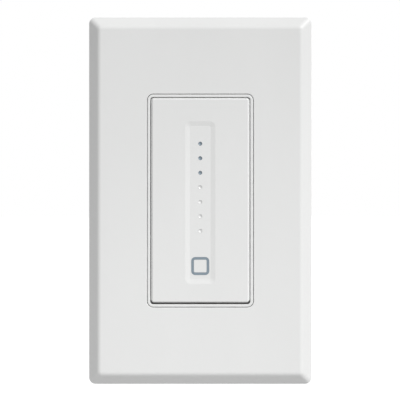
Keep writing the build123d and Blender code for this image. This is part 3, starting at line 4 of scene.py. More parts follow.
import bpy
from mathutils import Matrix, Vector


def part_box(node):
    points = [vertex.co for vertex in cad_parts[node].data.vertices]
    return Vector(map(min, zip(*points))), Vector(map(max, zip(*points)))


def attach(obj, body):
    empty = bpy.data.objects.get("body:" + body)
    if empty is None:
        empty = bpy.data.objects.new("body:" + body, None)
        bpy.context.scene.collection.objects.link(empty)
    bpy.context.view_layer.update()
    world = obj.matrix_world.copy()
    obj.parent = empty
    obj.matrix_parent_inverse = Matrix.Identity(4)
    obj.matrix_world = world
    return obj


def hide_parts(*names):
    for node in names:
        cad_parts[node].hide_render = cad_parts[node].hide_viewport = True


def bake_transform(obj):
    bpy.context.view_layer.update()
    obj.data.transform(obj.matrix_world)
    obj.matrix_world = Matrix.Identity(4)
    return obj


# A smart dimmer switch under a bevelled wall plate, lit and framed as in the photograph.
# The frame is in metres: X to the right as seen from the room, Y into the wall, Z up.

MM = 0.001

# The photograph, in its own pixels
PHOTO_SIDE = 400
PLATE_WIDTH_IN_PHOTO = 222.6
PLATE_MIDDLE_IN_PHOTO = (200.25, 200.7)

# Camera and floor
CAMERA_DISTANCE = 1.5
SENSOR_WIDTH = 36.0
FLOOR_DROP = 60 * MM
FLOOR_SIZE = 60.0
FLOOR_FOR_CAMERA = 0.8
FLOOR_GLOW_FOR_CAMERA = 0.42
FLOOR_FOR_LIGHT = 0.37

# Light, where the length of a direction is the share of full light that its lamp gives
AMBIENT = 0.44
KEY_TOWARDS = Vector((0.375, -0.317, 0.412))
KEY_SPREAD = math.radians(22)
BACK_FILL_TOWARDS = Vector((-0.1, 0.25, 0.06))
BACK_FILL_SPREAD = math.radians(40)
LOW_LAMP_PLACE = Vector((0.0, -0.187, -0.08))
LOW_LAMP_SIZE = 0.06
LOW_LAMP_LEVEL = 0.172

# Colours that several finishes share
WHITE = (0.86, 0.864, 0.858)
# LIT is painted light: the blue-grey a light guide gets where its light behind it is on.
LIT = (0.25, 0.31, 0.362)
BLACK = (0.02, 0.02, 0.022)
COPPER = (0.78, 0.36, 0.17)
TIN = (0.75, 0.74, 0.72)
GOLD = (0.9, 0.68, 0.28)
RED = (0.6, 0.03, 0.02)
PALE_GREY = (0.6, 0.6, 0.58)

# Threads and springs
STAND_ALONG_Y = Vector((-math.pi / 2, 0.0, 0.0))
TURN_STEPS = 28
SCREW_RADIUS = 1.75 * MM
THREAD_PITCH = 0.79 * MM
THREAD_RIDGE = THREAD_PITCH * 0.3
BOX_THREAD_START = 1.2 * MM
BOX_SCREW_POINT = 1.4 * MM
PLATE_THREAD_START = 0.3 * MM
PLATE_SCREW_POINT = 0.3 * MM
SPRING_WIRE = 0.35 * MM
SPRING_TURNS = 3.0
SPRING_SIDES = 8

# Coils
CHOKE_WIRE = 0.4 * MM
CHOKE_WIRE_PATTERN = 0.42 * MM
TRANSFORMER_WIRE = 0.25 * MM
TRANSFORMER_WIRE_PATTERN = 0.3 * MM
TRANSFORMER_YOKE = 2.15 * MM
COIL_CORNER = 1.4 * MM
COIL_CORNER_STEPS = 6
COIL_WIRE_SIDES = 6

# Resistors and diodes with wire ends, four in a column
AXIAL_COUNT = 4
AXIAL_PITCH = 11.0 * MM
AXIAL_COLUMN = 11.6 * MM
AXIAL_LOWEST = -15.0 * MM
AXIAL_RADIUS = 1.15 * MM
AXIAL_LENGTH = 6.3 * MM
AXIAL_STEPS = 33
AXIAL_SIDES = 16
AXIAL_WAIST = (0.4, 0.6)
SHOULDER_START = 0.78
SHOULDER_LENGTH = 0.23
RESISTOR_WAIST = 0.16
LEAD_REACH = 9.2 * MM
LEAD_LIFT = 1.35 * MM
LEAD_SINK = 0.5 * MM
LEAD_WIRE = 0.6 * MM
LEAD_BEND_STEPS = 5
LEAD_SIDES = 8

# Small blocks on the boards and the housing
SOFT_CREASE = 0.35
PIN_PITCH = 2.54 * MM
PIN_COUNT = 7
SOLDER_SIZE = Vector((1.5, 0.9, 1.5)) * MM
SOLDER_ROUNDNESS = 2
CHIP_SIZE = Vector((0.8, 0.45, 1.6)) * MM
CHIP_PITCH = 3.1 * MM
CHIP_COUNT = 10
CHIP_COLUMN = 10.6 * MM
CHIP_LOWEST = -12.0 * MM
PAD_SIZE = Vector((1.1, 0.12, 0.8)) * MM
PAD_PITCH = 1.5 * MM
PAD_COUNT = 14
GAUGE_SIZE = Vector((0.5, 16.0, 1.4)) * MM
GAUGE_FROM_BACK = 5.0 * MM
GAUGE_CREASE = 0.8
GAUGE_ROUNDNESS = 3

# The lights behind the dots and the square mark
LEVEL_LIGHT_COUNT = 7
LIT_COUNT = 3
LENS_SIZE = Vector((0.55, 0.16, 0.5)) * MM
MARK_LENS_SIZE = LENS_SIZE * 2
LENS_ROUNDNESS = 2

# The colour sockets of a Mix node, which share their names with its other sockets
MIX_COLOURS = (6, 7)
MIX_RESULT = 2

# Where a solid changes from its case to its metal
EDGE = 0.02 * MM
HEADER_STRIP = 2.5 * MM
CHIP_LEG = 0.5 * MM
TRANSISTOR_TAB = 6.3 * MM
TRANSISTOR_CASE = 9.2 * MM
FUSE_CAP = 2.0 * MM
CAPACITOR_RIM = 0.9 * MM
CAPACITOR_TOP = 0.1 * MM
STRIPE_START = 0.75
BELOW_ALL = -1.0

# Pattern of the circuit boards, with the vias as shares of their pitch
COPPER_AREA = 6.5 * MM
COPPER_GAP = (0.045, 0.07)
VIA_PITCH = 3.1 * MM
VIA_RING = 0.11
VIA_HOLE = 0.05

# Bands on the small parts: colour, place along the part and width
RESISTOR_BANDS = (
    ((0.2, 0.06, 0.02), -2.2 * MM, 0.6 * MM),
    ((0.01, 0.01, 0.01), -1.1 * MM, 0.5 * MM),
    (RED, 0.0, 0.5 * MM),
    ((0.6, 0.42, 0.1), 2.0 * MM, 0.6 * MM),
)
DIODE_BANDS = (((0.6, 0.6, 0.6), 2.1 * MM, 0.8 * MM),)
CHIP_BANDS = tuple((PALE_GREY, place, 0.3 * MM) for place in (-0.65 * MM, 0.65 * MM))

# Nodes whose finish isn't their slot's
OWN_FINISH = {
    "power_mark_light_guide": "mark_guide",
    "board_header": "header_with_pins",
    "touch_chip": "chip_with_legs",
    "power_transistor_left": "transistor_with_tab",
    "power_transistor_right": "transistor_with_tab",
    "fuse": "fuse_with_caps",
    "transformer_coil": "transformer_winding",
}


class Value:
    """What comes out of a node, such as a number that changes over a surface. It takes + - * / < and >."""

    def __init__(self, tree, socket):
        self.tree = tree
        self.socket = socket

    def _math(self, operation, first, second=0.0):
        return self.tree.node("ShaderNodeMath", {"operation": operation}, {0: first, 1: second})

    def __add__(self, other):
        return self._math("ADD", self, other)

    def __radd__(self, other):
        return self._math("ADD", other, self)

    def __sub__(self, other):
        return self._math("SUBTRACT", self, other)

    def __rsub__(self, other):
        return self._math("SUBTRACT", other, self)

    def __mul__(self, other):
        return self._math("MULTIPLY", self, other)

    def __rmul__(self, other):
        return self._math("MULTIPLY", other, self)

    def __truediv__(self, other):
        return self._math("DIVIDE", self, other)

    def __rtruediv__(self, other):
        return self._math("DIVIDE", other, self)

    def __gt__(self, other):
        return self._math("GREATER_THAN", self, other)

    def __lt__(self, other):
        return self._math("LESS_THAN", self, other)

    def size(self):
        return self._math("ABSOLUTE", self)

    def most(self, other):
        return self._math("MAXIMUM", self, other)

    def fraction(self):
        return self._math("FRACT", self)

    def root(self):
        return self._math("SQRT", self)

    def wave(self):
        return self._math("SINE", self)

    def ramp(self, low, high):
        """0 up to low, 1 from high on, and a smooth rise between."""
        limits = {"Value": self, "From Min": low, "From Max": high}
        return self.tree.node("ShaderNodeMapRange", {"interpolation_type": "SMOOTHSTEP"}, limits)


class NodeTree:
    """A node tree whose nodes are made by one method."""

    def __init__(self, tree):
        self.tree = tree

    def node(self, kind, settings=None, inputs=None, output=0):
        """Adds a node: its settings first, then the values or links of its sockets."""
        made = self.tree.nodes.new(kind)
        for name, setting in (settings or {}).items():
            setattr(made, name, setting)
        for key, given in (inputs or {}).items():
            self.feed(made.inputs[key], given)
        return Value(self, made.outputs[output]) if made.outputs else made

    def feed(self, socket, given):
        """Puts a value or a link on a socket."""
        if isinstance(given, Value):
            self.tree.links.new(given.socket, socket)
        else:
            socket.default_value = given


class Finish(NodeTree):
    """The procedural finish of a material: a Principled shader and what feeds it."""

    def __init__(self, name, **fixed):
        self.material = bpy.data.materials.new(name)
        self.material.use_nodes = True
        super().__init__(self.material.node_tree)
        self.shader = self.tree.nodes["Principled BSDF"]
        for socket, number in fixed.items():
            self.shader.inputs[socket.replace("_", " ")].default_value = number
        self.place = self.node("ShaderNodeTexCoord", output="Object")

    def stretched(self, x, y, z):
        """The place on the object, stretched by a factor along each axis."""
        return self.node("ShaderNodeMapping", {}, {"Vector": self.place, "Scale": (x, y, z)})

    def height(self, axis):
        """How far along X, Y or Z the surface is, in metres."""
        return self.node("ShaderNodeSeparateXYZ", {}, {0: self.place}, output=axis)

    def noise(self, size, detail=2.0, place=None):
        """Soft cloudy noise from 0 to 1, whose blobs are about size metres across."""
        inputs = {"Vector": place or self.place, "Scale": 1 / size, "Detail": detail}
        return self.node("ShaderNodeTexNoise", {}, inputs)

    def cells(self, size, feature="F1", place=None, measure="EUCLIDEAN"):
        """How far the nearest of some scattered points is (F1), or the second (F2), in shares of size."""
        inputs = {"Vector": place or self.place, "Scale": 1 / size}
        return self.node("ShaderNodeTexVoronoi", {"feature": feature, "distance": measure}, inputs)

    def blend(self, share, first, second):
        """One colour where share is 0, the other where it is 1."""
        inputs = {0: share}
        for socket, colour in zip(MIX_COLOURS, (first, second)):
            inputs[socket] = colour if isinstance(colour, Value) else (*colour, 1.0)
        return self.node("ShaderNodeMix", {"data_type": "RGBA"}, inputs, output=MIX_RESULT)

    def put(self, socket, given):
        self.feed(self.shader.inputs[socket], given)

    def dent(self, relief, depth):
        """Bumps the surface by a relief from 0 to 1 that is depth metres high."""
        inputs = {"Height": relief, "Distance": depth, "Strength": 1.0}
        self.put("Normal", self.node("ShaderNodeBump", {}, inputs))


def tinted(colour, factor):
    """A colour made darker or lighter by a factor."""
    return tuple(channel * factor for channel in colour)


# Finishes


def satin_plastic(name, colour, roughness=0.42, grain=0.16 * MM, depth=0.0012 * MM):
    """Moulded plastic: fine even grain, faint flow marks and a slightly uneven sheen."""
    finish = Finish(name, IOR=1.5)
    flow = finish.noise(22 * MM, detail=3.0, place=finish.stretched(1.0, 1.0, 0.45)).ramp(0.3, 0.7)
    speckle = finish.noise(grain, detail=3.0)
    finish.put("Base Color", finish.blend(flow, tinted(colour, 0.988), tinted(colour, 1.004)))
    finish.put("Roughness", roughness - 0.03 + 0.05 * flow + 0.04 * speckle)
    finish.dent(speckle, depth)
    return finish.material


def eroded_plastic(name, colour, roughness=0.6):
    """Plastic from a spark-eroded mould: coarse matt grain with small bright pits."""
    finish = Finish(name, IOR=1.5)
    grain = finish.noise(0.32 * MM, detail=4.0)
    pits = finish.cells(0.55 * MM).ramp(0.1, 0.6)
    cloud = finish.noise(14 * MM).ramp(0.3, 0.75)
    tint = cloud * 0.6 + grain * 0.4
    finish.put("Base Color", finish.blend(tint, tinted(colour, 0.8), tinted(colour, 1.25)))
    finish.put("Roughness", roughness + 0.12 * grain - 0.06 * cloud)
    finish.dent(grain * 0.7 + pits * 0.3, 0.018 * MM)
    return finish.material


def light_guide(name, lit_above, lit, unlit):
    """Clear plastic with painted light: blue-grey is painted where a light behind it is on."""
    finish = Finish(name, IOR=1.49, Roughness=0.28)
    on = finish.height("Z") > lit_above
    haze = finish.noise(0.5 * MM)
    glow = finish.blend(haze, tinted(lit, 0.95), tinted(lit, 1.05))
    # Painted light: above lit_above the guide takes the blue-grey of the light behind it, which is no lamp
    # here.
    finish.put("Base Color", finish.blend(on, unlit, glow))
    finish.dent(haze, 0.002 * MM)
    return finish.material


def tumbled_metal(name, colour, roughness=0.36, rolling=(1.0, 1.0, 14.0)):
    """Stamped sheet metal: fine rolling lines, small tumbling dents and a cloudy sheen."""
    finish = Finish(name, Metallic=1.0)
    lines = finish.noise(0.5 * MM, detail=3.0, place=finish.stretched(*rolling))
    dents = finish.cells(1.3 * MM).ramp(0.0, 0.45)
    cloud = finish.noise(9 * MM, detail=3.0).ramp(0.25, 0.8)
    finish.put("Base Color", finish.blend(cloud, tinted(colour, 0.86), colour))
    finish.put("Roughness", roughness + 0.16 * cloud - 0.08 * lines)
    finish.dent(lines * 0.6 + dents * 0.4, 0.006 * MM)
    return finish.material


def plated_metal(name, colour, roughness=0.3):
    """A plated and turned part: bright, with a mottled passivated tint."""
    finish = Finish(name, Metallic=1.0)
    mottle = finish.noise(1.6 * MM, detail=4.0).ramp(0.3, 0.75)
    scratches = finish.noise(0.12 * MM, place=finish.stretched(1.0, 9.0, 1.0))
    finish.put("Base Color", finish.blend(mottle, tinted(colour, 0.82), colour))
    finish.put("Roughness", roughness + 0.14 * mottle + 0.05 * scratches)
    finish.dent(scratches, 0.003 * MM)
    return finish.material


def enamelled_metal(name, colour):
    """Paint or dye on a screw: glossy, a little thin and uneven."""
    finish = Finish(name, Metallic=0.0, Coat_Weight=0.4, Coat_Roughness=0.15)
    peel = finish.noise(0.4 * MM)
    finish.put("Base Color", finish.blend(peel, tinted(colour, 0.85), tinted(colour, 1.08)))
    finish.put("Roughness", 0.3 + 0.12 * peel)
    finish.dent(peel, 0.004 * MM)
    return finish.material


def pressed_fibre(name, colour):
    """Vulcanised fibre: matt, with short dark strands."""
    finish = Finish(name)
    strands = finish.noise(0.35 * MM, detail=4.0, place=finish.stretched(3.0, 1.0, 0.6))
    blotch = finish.noise(3 * MM)
    tint = strands * 0.6 + blotch * 0.4
    finish.put("Base Color", finish.blend(tint, tinted(colour, 0.62), tinted(colour, 1.2)))
    finish.put("Roughness", 0.78 + 0.12 * strands)
    finish.dent(strands, 0.02 * MM)
    return finish.material


def circuit_board(name, resist, tin):
    """Glass-fibre board: copper areas under the solder resist with gaps between them, and small vias."""
    finish = Finish(name, IOR=1.5, Coat_Weight=0.3)
    flat = finish.stretched(1.0, 0.0, 1.0)
    nearest, second = (finish.cells(COPPER_AREA, feature, flat, "CHEBYCHEV") for feature in ("F1", "F2"))
    copper = (second - nearest).ramp(*COPPER_GAP)
    from_via = finish.cells(VIA_PITCH, "F1", flat)
    ring = from_via < VIA_RING
    hole = from_via < VIA_HOLE
    weave = finish.noise(0.5 * MM, detail=1.0, place=finish.stretched(1.0, 1.0, 4.0))
    green = finish.blend(copper, tinted(resist, 0.55), finish.blend(weave, resist, tinted(resist, 1.2)))
    # Painted shade: the via's hole is painted nearly black, as the shade inside the hole.
    via = finish.blend(hole, tin, tinted(tin, 0.05))
    finish.put("Base Color", finish.blend(ring, green, via))
    finish.put("Metallic", ring)
    finish.put("Roughness", 0.34 + 0.1 * weave)
    finish.dent(copper * 0.8 + weave * 0.2 - hole, 0.03 * MM)
    return finish.material


def moulded_component(name, colour, roughness=0.5):
    """The matt body of an electronic part, mottled by its mould's grain."""
    finish = Finish(name, IOR=1.5)
    grain = finish.noise(0.22 * MM, detail=3.0)
    finish.put("Base Color", finish.blend(grain, tinted(colour, 0.8), tinted(colour, 1.3)))
    finish.put("Roughness", roughness + 0.15 * grain)
    finish.dent(grain, 0.008 * MM)
    return finish.material


def leaded_part(name, case, metal, axis, low, high, roughness=0.5):
    """A case between two places along an axis, and the bright legs, pins, tab or caps past them."""
    finish = Finish(name, IOR=1.5)
    grain = finish.noise(0.22 * MM, detail=3.0)
    along = finish.height(axis)
    bare = (along < low).most(along > high)
    mould = finish.blend(grain, tinted(case, 0.8), tinted(case, 1.3))
    finish.put("Base Color", finish.blend(bare, mould, metal))
    finish.put("Metallic", bare)
    finish.put("Roughness", roughness + 0.15 * grain - (roughness - 0.25) * bare)
    finish.dent(grain, 0.008 * MM)
    return finish.material


def shrink_sleeve(name, colour, stripe, metal, low, high):
    """A pair of capacitors: glossy film with a pale stripe down one side, and the can's bare top."""
    finish = Finish(name, IOR=1.5, Coat_Weight=0.5)
    ripples = finish.noise(2.2 * MM)
    axis_x, axis_z, radius = (low.x + high.x) / 2, (low.z + high.z) / 2, (high.x - low.x) / 2
    across, up = finish.height("X").size() - axis_x, finish.height("Z") - axis_z
    from_axis = (across * across + up * up).root()
    bare = (from_axis < radius - CAPACITOR_RIM) * (finish.height("Y") > high.y - CAPACITOR_TOP)
    dark = finish.blend(ripples, colour, tinted(colour, 1.5))
    film = finish.blend(up > radius * STRIPE_START, dark, stripe)
    finish.put("Base Color", finish.blend(bare, film, metal))
    finish.put("Metallic", bare)
    finish.put("Roughness", 0.22 + 0.1 * ripples + 0.1 * bare)
    finish.dent(ripples * (1.0 - bare), 0.03 * MM)
    return finish.material


def wound_wire(name, colour, pitch, start, bobbin):
    """Close turns of enamelled wire round Y, on a bobbin that shows up to their start, with painted shade
    between the turns.
    """
    finish = Finish(name)
    along = finish.height("Y")
    wire = along > start
    ridge = 0.5 + 0.5 * (along * (2 * math.pi / pitch)).wave()
    drift = finish.noise(1.8 * MM)
    # Painted shade: each turn goes down to 0.45 of its colour at its edges, where the grooves between turns
    # would be shaded.
    turns = finish.blend(ridge, tinted(colour, 0.45), colour)
    finish.put("Base Color", finish.blend(wire, bobbin, turns))
    finish.put("Metallic", wire * 0.85)
    finish.put("Roughness", 0.28 + 0.2 * drift)
    finish.dent(ridge * wire, 0.1 * MM)
    return finish.material


def banded_parts(name, body, bands, lowest, pitch, roughness=0.35):
    """The body of equal parts in a column up Z, with the same bands on each."""
    finish = Finish(name, IOR=1.5, Coat_Weight=0.3)
    turn = ((finish.height("Z") - lowest) / pitch + 0.5).fraction()
    along = (turn - 0.5) * pitch
    lacquer = finish.noise(0.6 * MM)
    colour = finish.blend(lacquer, tinted(body, 0.9), tinted(body, 1.08))
    for band, place, width in bands:
        colour = finish.blend((along - place).size() < width / 2, colour, band)
    finish.put("Base Color", colour)
    finish.put("Roughness", roughness + 0.12 * lacquer)
    finish.dent(lacquer, 0.006 * MM)
    return finish.material


def sintered_ferrite(name, colour):
    """Ground ferrite: dark grey, dense, with grinding lines and small chips."""
    finish = Finish(name, IOR=2.0)
    grinding = finish.noise(0.2 * MM, place=finish.stretched(8.0, 1.0, 1.0))
    chips = finish.cells(0.8 * MM).ramp(0.0, 0.2)
    finish.put("Base Color", finish.blend(grinding, tinted(colour, 0.7), tinted(colour, 1.4)))
    finish.put("Roughness", 0.42 + 0.2 * grinding)
    finish.dent(grinding * 0.5 + chips * 0.5, 0.01 * MM)
    return finish.material


# Places on the solids


def middle(node):
    """The middle of a solid's box."""
    low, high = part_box(node)
    return (low + high) / 2


def level_light_heights():
    """The heights of the lights behind the dots, from the top one down."""
    names = (f"level_led_{index + 1}" for index in range(LEVEL_LIGHT_COUNT))
    return sorted((middle(name).z for name in names), reverse=True)


def lit_from():
    """The height above which the dots are lit, halfway between the last lit one and the next."""
    heights = level_light_heights()
    return (heights[LIT_COUNT - 1] + heights[LIT_COUNT]) / 2


def cases():
    """Where each case of moulding or glass starts and ends along its part."""
    _, board_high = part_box("control_board")
    chip_low, chip_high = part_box("touch_chip")
    _, transistor_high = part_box("power_transistor_left")
    fuse_low, fuse_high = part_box("fuse")
    transistor_top = transistor_high.z - TRANSISTOR_TAB
    return {
        "header": {"low": board_high.y - EDGE, "high": board_high.y + HEADER_STRIP + EDGE},
        "chip": {"low": chip_low.z + CHIP_LEG - EDGE, "high": chip_high.z - CHIP_LEG + EDGE},
        "transistor": {"low": transistor_top - TRANSISTOR_CASE - EDGE, "high": transistor_top + EDGE},
        "fuse": {"low": fuse_low.x + FUSE_CAP + EDGE, "high": fuse_high.x - FUSE_CAP - EDGE},
    }


def make_finishes():
    """Every finish, by its name."""
    case = cases()
    core_low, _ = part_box("transformer_core")
    sleeve_low, sleeve_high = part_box("smoothing_capacitor_right")
    sleeve = dict(colour=(0.02, 0.03, 0.1), stripe=(0.55, 0.56, 0.6), metal=tinted(TIN, 0.8))
    axial = dict(lowest=AXIAL_LOWEST, pitch=AXIAL_PITCH)
    chips = dict(lowest=CHIP_LOWEST, pitch=CHIP_PITCH)
    base = dict(colour=tinted(WHITE, 0.93), roughness=0.55, grain=0.3 * MM, depth=0.004 * MM)
    brass = dict(colour=(0.86, 0.66, 0.32), roughness=0.28, rolling=(1.0, 12.0, 1.0))
    shield = dict(colour=(0.76, 0.76, 0.75), roughness=0.3, rolling=(12.0, 1.0, 1.0))
    choke = dict(colour=COPPER, pitch=CHOKE_WIRE_PATTERN, start=BELOW_ALL, bobbin=BLACK)
    coil = dict(colour=COPPER, pitch=TRANSFORMER_WIRE_PATTERN, start=core_low.y + EDGE, bobbin=BLACK)
    glaze = dict(body=(0.015, 0.015, 0.017), bands=CHIP_BANDS, roughness=0.3)
    glass = dict(case=(0.6, 0.57, 0.5), metal=TIN, roughness=0.4)
    recipes = {
        "plate_white": (satin_plastic, dict(colour=WHITE)),
        "base_white": (satin_plastic, base),
        "bezel_white": (satin_plastic, dict(colour=WHITE)),
        "paddle_white": (satin_plastic, dict(colour=WHITE, roughness=0.4)),
        # Both light guides carry painted light: the dots above their lit height, and the whole square mark.
        "light_guide": (light_guide, dict(lit_above=lit_from(), lit=LIT, unlit=WHITE)),
        "mark_guide": (light_guide, dict(lit_above=BELOW_ALL, lit=LIT, unlit=WHITE)),
        "strap_aluminium": (tumbled_metal, dict(colour=(0.78, 0.785, 0.79))),
        "screw_zinc": (plated_metal, dict(colour=(0.7, 0.69, 0.66))),
        "screw_white": (enamelled_metal, dict(colour=(0.83, 0.83, 0.82))),
        "screw_green": (enamelled_metal, dict(colour=(0.05, 0.27, 0.09))),
        "retainer_fibre": (pressed_fibre, dict(colour=(0.42, 0.22, 0.1))),
        "housing_black": (eroded_plastic, dict(colour=(0.028, 0.028, 0.031))),
        "brass": (tumbled_metal, brass),
        "terminal_steel": (plated_metal, dict(colour=(0.68, 0.68, 0.67))),
        "terminal_brass": (plated_metal, dict(colour=(0.83, 0.62, 0.28))),
        "board_green": (circuit_board, dict(resist=(0.02, 0.17, 0.065), tin=(0.75, 0.74, 0.7))),
        "led_body": (moulded_component, dict(colour=(0.82, 0.79, 0.6), roughness=0.3)),
        "black_moulding": (moulded_component, dict(colour=BLACK)),
        "plunger_brown": (moulded_component, dict(colour=(0.14, 0.07, 0.035), roughness=0.4)),
        "shield_tin": (tumbled_metal, shield),
        "spring_steel": (plated_metal, dict(colour=(0.62, 0.62, 0.63), roughness=0.2)),
        "ferrite": (sintered_ferrite, dict(colour=(0.07, 0.07, 0.075))),
        "copper_winding": (wound_wire, choke),
        "transformer_winding": (wound_wire, coil),
        "capacitor_sleeve": (shrink_sleeve, dict(low=sleeve_low, high=sleeve_high, **sleeve)),
        "film_yellow": (moulded_component, dict(colour=(0.72, 0.5, 0.06), roughness=0.32)),
        "varistor_blue": (moulded_component, dict(colour=(0.02, 0.12, 0.42), roughness=0.25)),
        "solder": (plated_metal, dict(colour=(0.8, 0.8, 0.8), roughness=0.18)),
        "copper_wire": (plated_metal, dict(colour=COPPER, roughness=0.25)),
        "resistor_lacquer": (banded_parts, dict(body=(0.62, 0.45, 0.25), bands=RESISTOR_BANDS, **axial)),
        "diode_moulding": (banded_parts, dict(body=BLACK, bands=DIODE_BANDS, roughness=0.45, **axial)),
        "chip_glaze": (banded_parts, dict(**glaze, **chips)),
        "phosphor": (moulded_component, dict(colour=(0.78, 0.62, 0.1), roughness=0.35)),
        "gold_plating": (plated_metal, dict(colour=GOLD, roughness=0.25)),
        "header_with_pins": (leaded_part, dict(case=BLACK, metal=GOLD, axis="Y", **case["header"])),
        "chip_with_legs": (leaded_part, dict(case=BLACK, metal=TIN, axis="Z", **case["chip"])),
        "transistor_with_tab": (leaded_part, dict(case=BLACK, metal=TIN, axis="Z", **case["transistor"])),
        "fuse_with_caps": (leaded_part, dict(axis="X", **glass, **case["fuse"])),
    }
    return {name: recipe(name, **settings) for name, (recipe, settings) in recipes.items()}


def dress_solids(frame, finishes):
    """Gives each solid the finish of its slot, or its own."""
    for row in frame["record"]["subparts"]:
        name = row["node"]
        finish = finishes[OWN_FINISH.get(name, row["material_slot"])]
        for material_slot in frame["nodes"][name].material_slots:
            material_slot.material = finish


# Shapes that repeat or follow a rule


class Geometry(NodeTree):
    """A Geometry Nodes tree with named inputs, which ends in Realize Instances and Set Material."""

    KINDS = {float: "NodeSocketFloat", int: "NodeSocketInt", Vector: "NodeSocketVector"}

    def __init__(self, name, material, **inputs):
        super().__init__(bpy.data.node_groups.new(name, "GeometryNodeTree"))
        self.values = {**inputs, "First": Vector(), "Step": Vector(), "Count": 1, "Finish": material}
        self.identifiers = {}
        for key, given in self.values.items():
            kind = self.KINDS.get(type(given), "NodeSocketMaterial")
            made = self.tree.interface.new_socket(key, in_out="INPUT", socket_type=kind)
            self.identifiers[key] = made.identifier
        self.tree.interface.new_socket("Geometry", in_out="OUTPUT", socket_type="NodeSocketGeometry")
        self.group = self.node("NodeGroupInput").socket.node

    def __getitem__(self, key):
        return Value(self, self.group.outputs[key])

    def turned(self, shape, rotation):
        return self.node("GeometryNodeTransform", {}, {"Geometry": shape, "Rotation": rotation})

    def tube(self, path, radius, sides, swell=1.0):
        """A wire, ridge or turned body of a few flat sides along a curve, which may swell along it."""
        section = self.node("GeometryNodeCurvePrimitiveCircle", {}, {"Resolution": sides, "Radius": radius})
        inputs = {"Curve": path, "Profile Curve": section, "Scale": swell, "Fill Caps": True}
        return self.node("GeometryNodeCurveToMesh", {}, inputs)

    def repeat_in_line(self, shape):
        """Puts Count shapes in a line, from First on and each one Step further, and ends the tree."""
        places = {"Count": self["Count"], "Start Location": self["First"], "Offset": self["Step"]}
        line = self.node("GeometryNodeMeshLine", {}, places)
        placed = self.node("GeometryNodeInstanceOnPoints", {}, {"Points": line, "Instance": shape})
        realized = self.node("GeometryNodeRealizeInstances", {}, {0: placed})
        cover = {"Geometry": realized, "Material": self["Finish"]}
        self.node("NodeGroupOutput", {}, {0: self.node("GeometryNodeSetMaterial", {}, cover)})

    def grow(self, name, slot, **changed):
        """Makes a plain mesh from the tree, on no body yet."""
        holder = bpy.data.objects.new(name + "_holder", bpy.data.meshes.new(name + "_holder"))
        bpy.context.scene.collection.objects.link(holder)
        modifier = holder.modifiers.new("shape", "NODES")
        modifier.node_group = self.tree
        for key, given in {**self.values, **changed}.items():
            modifier[self.identifiers[key]] = given
        graph = bpy.context.evaluated_depsgraph_get()
        mesh = bpy.data.meshes.new_from_object(holder.evaluated_get(graph))
        bpy.data.objects.remove(holder)
        piece = bpy.data.objects.new(name, mesh)
        bpy.context.scene.collection.objects.link(piece)
        mesh.validate()
        for polygon in mesh.polygons:
            polygon.use_smooth = True
        return piece


def winding_geometry(material):
    """A ridge wound round a bar: a screw's thread, a spring or a coil's wire."""
    sizes = {"Radius": 1.0, "Ridge": 0.1, "Sides": 4, "Turns": 10.0, "Length": 1.0}
    tree = Geometry("winding", material, **sizes)
    path = {"Resolution": TURN_STEPS, "Rotations": tree["Turns"], "Height": tree["Length"]}
    path.update({"Start Radius": tree["Radius"], "End Radius": tree["Radius"]})
    ridge = tree.tube(tree.node("GeometryNodeCurveSpiral", {}, path), tree["Ridge"], tree["Sides"])
    tree.repeat_in_line(tree.turned(ridge, STAND_ALONG_Y))
    return tree


def loop_geometry(material):
    """Closed rectangular loops of wire laid side by side along Y, as on a transformer's coil."""
    tree = Geometry("stacked_loops", material, Width=1.0, Height=1.0, Corner=0.1, Wire=0.1)
    size = {"Width": tree["Width"], "Height": tree["Height"]}
    loop = tree.node("GeometryNodeCurvePrimitiveQuadrilateral", {}, size)
    corner = {"Curve": loop, "Radius": tree["Corner"], "Count": COIL_CORNER_STEPS}
    soft = tree.node("GeometryNodeFilletCurve", {"mode": "POLY"}, corner)
    tree.repeat_in_line(tree.turned(tree.tube(soft, tree["Wire"], COIL_WIRE_SIDES), STAND_ALONG_Y))
    return tree


def block_geometry(material):
    """Small blocks in a row, rounded or sharp, such as solder joints and chip resistors."""
    sizes = {"Size": Vector((1.0, 1.0, 1.0)), "Roundness": 0, "Crease": SOFT_CREASE}
    tree = Geometry("row_of_blocks", material, **sizes)
    cube = tree.node("GeometryNodeMeshCube", {}, {"Size": tree["Size"]})
    soft = {"Mesh": cube, "Level": tree["Roundness"], "Edge Crease": tree["Crease"]}
    tree.repeat_in_line(tree.node("GeometryNodeSubdivisionSurface", {}, soft))
    return tree


def axial_body_geometry(material):
    """Turned bodies of axial parts in a row, with round ends that may be fuller than the middle."""
    sizes = {"Start": Vector(), "End": Vector((0.0, 0.0, 1.0)), "Radius": 0.1, "Waist": 0.0}
    tree = Geometry("axial_bodies", material, **sizes)
    line = tree.node("GeometryNodeCurvePrimitiveLine", {}, {"Start": tree["Start"], "End": tree["End"]})
    path = tree.node("GeometryNodeResampleCurve", {}, {"Curve": line, "Count": AXIAL_STEPS})
    from_middle = (tree.node("GeometryNodeSplineParameter", output="Factor") * 2.0 - 1.0).size()
    past_shoulder = ((from_middle - SHOULDER_START) / SHOULDER_LENGTH).most(0.0)
    end = (1.0 - past_shoulder * past_shoulder).root()
    waist = 1.0 - tree["Waist"] * (1.0 - from_middle.ramp(*AXIAL_WAIST))
    tree.repeat_in_line(tree.tube(path, tree["Radius"], AXIAL_SIDES, end * waist))
    return tree


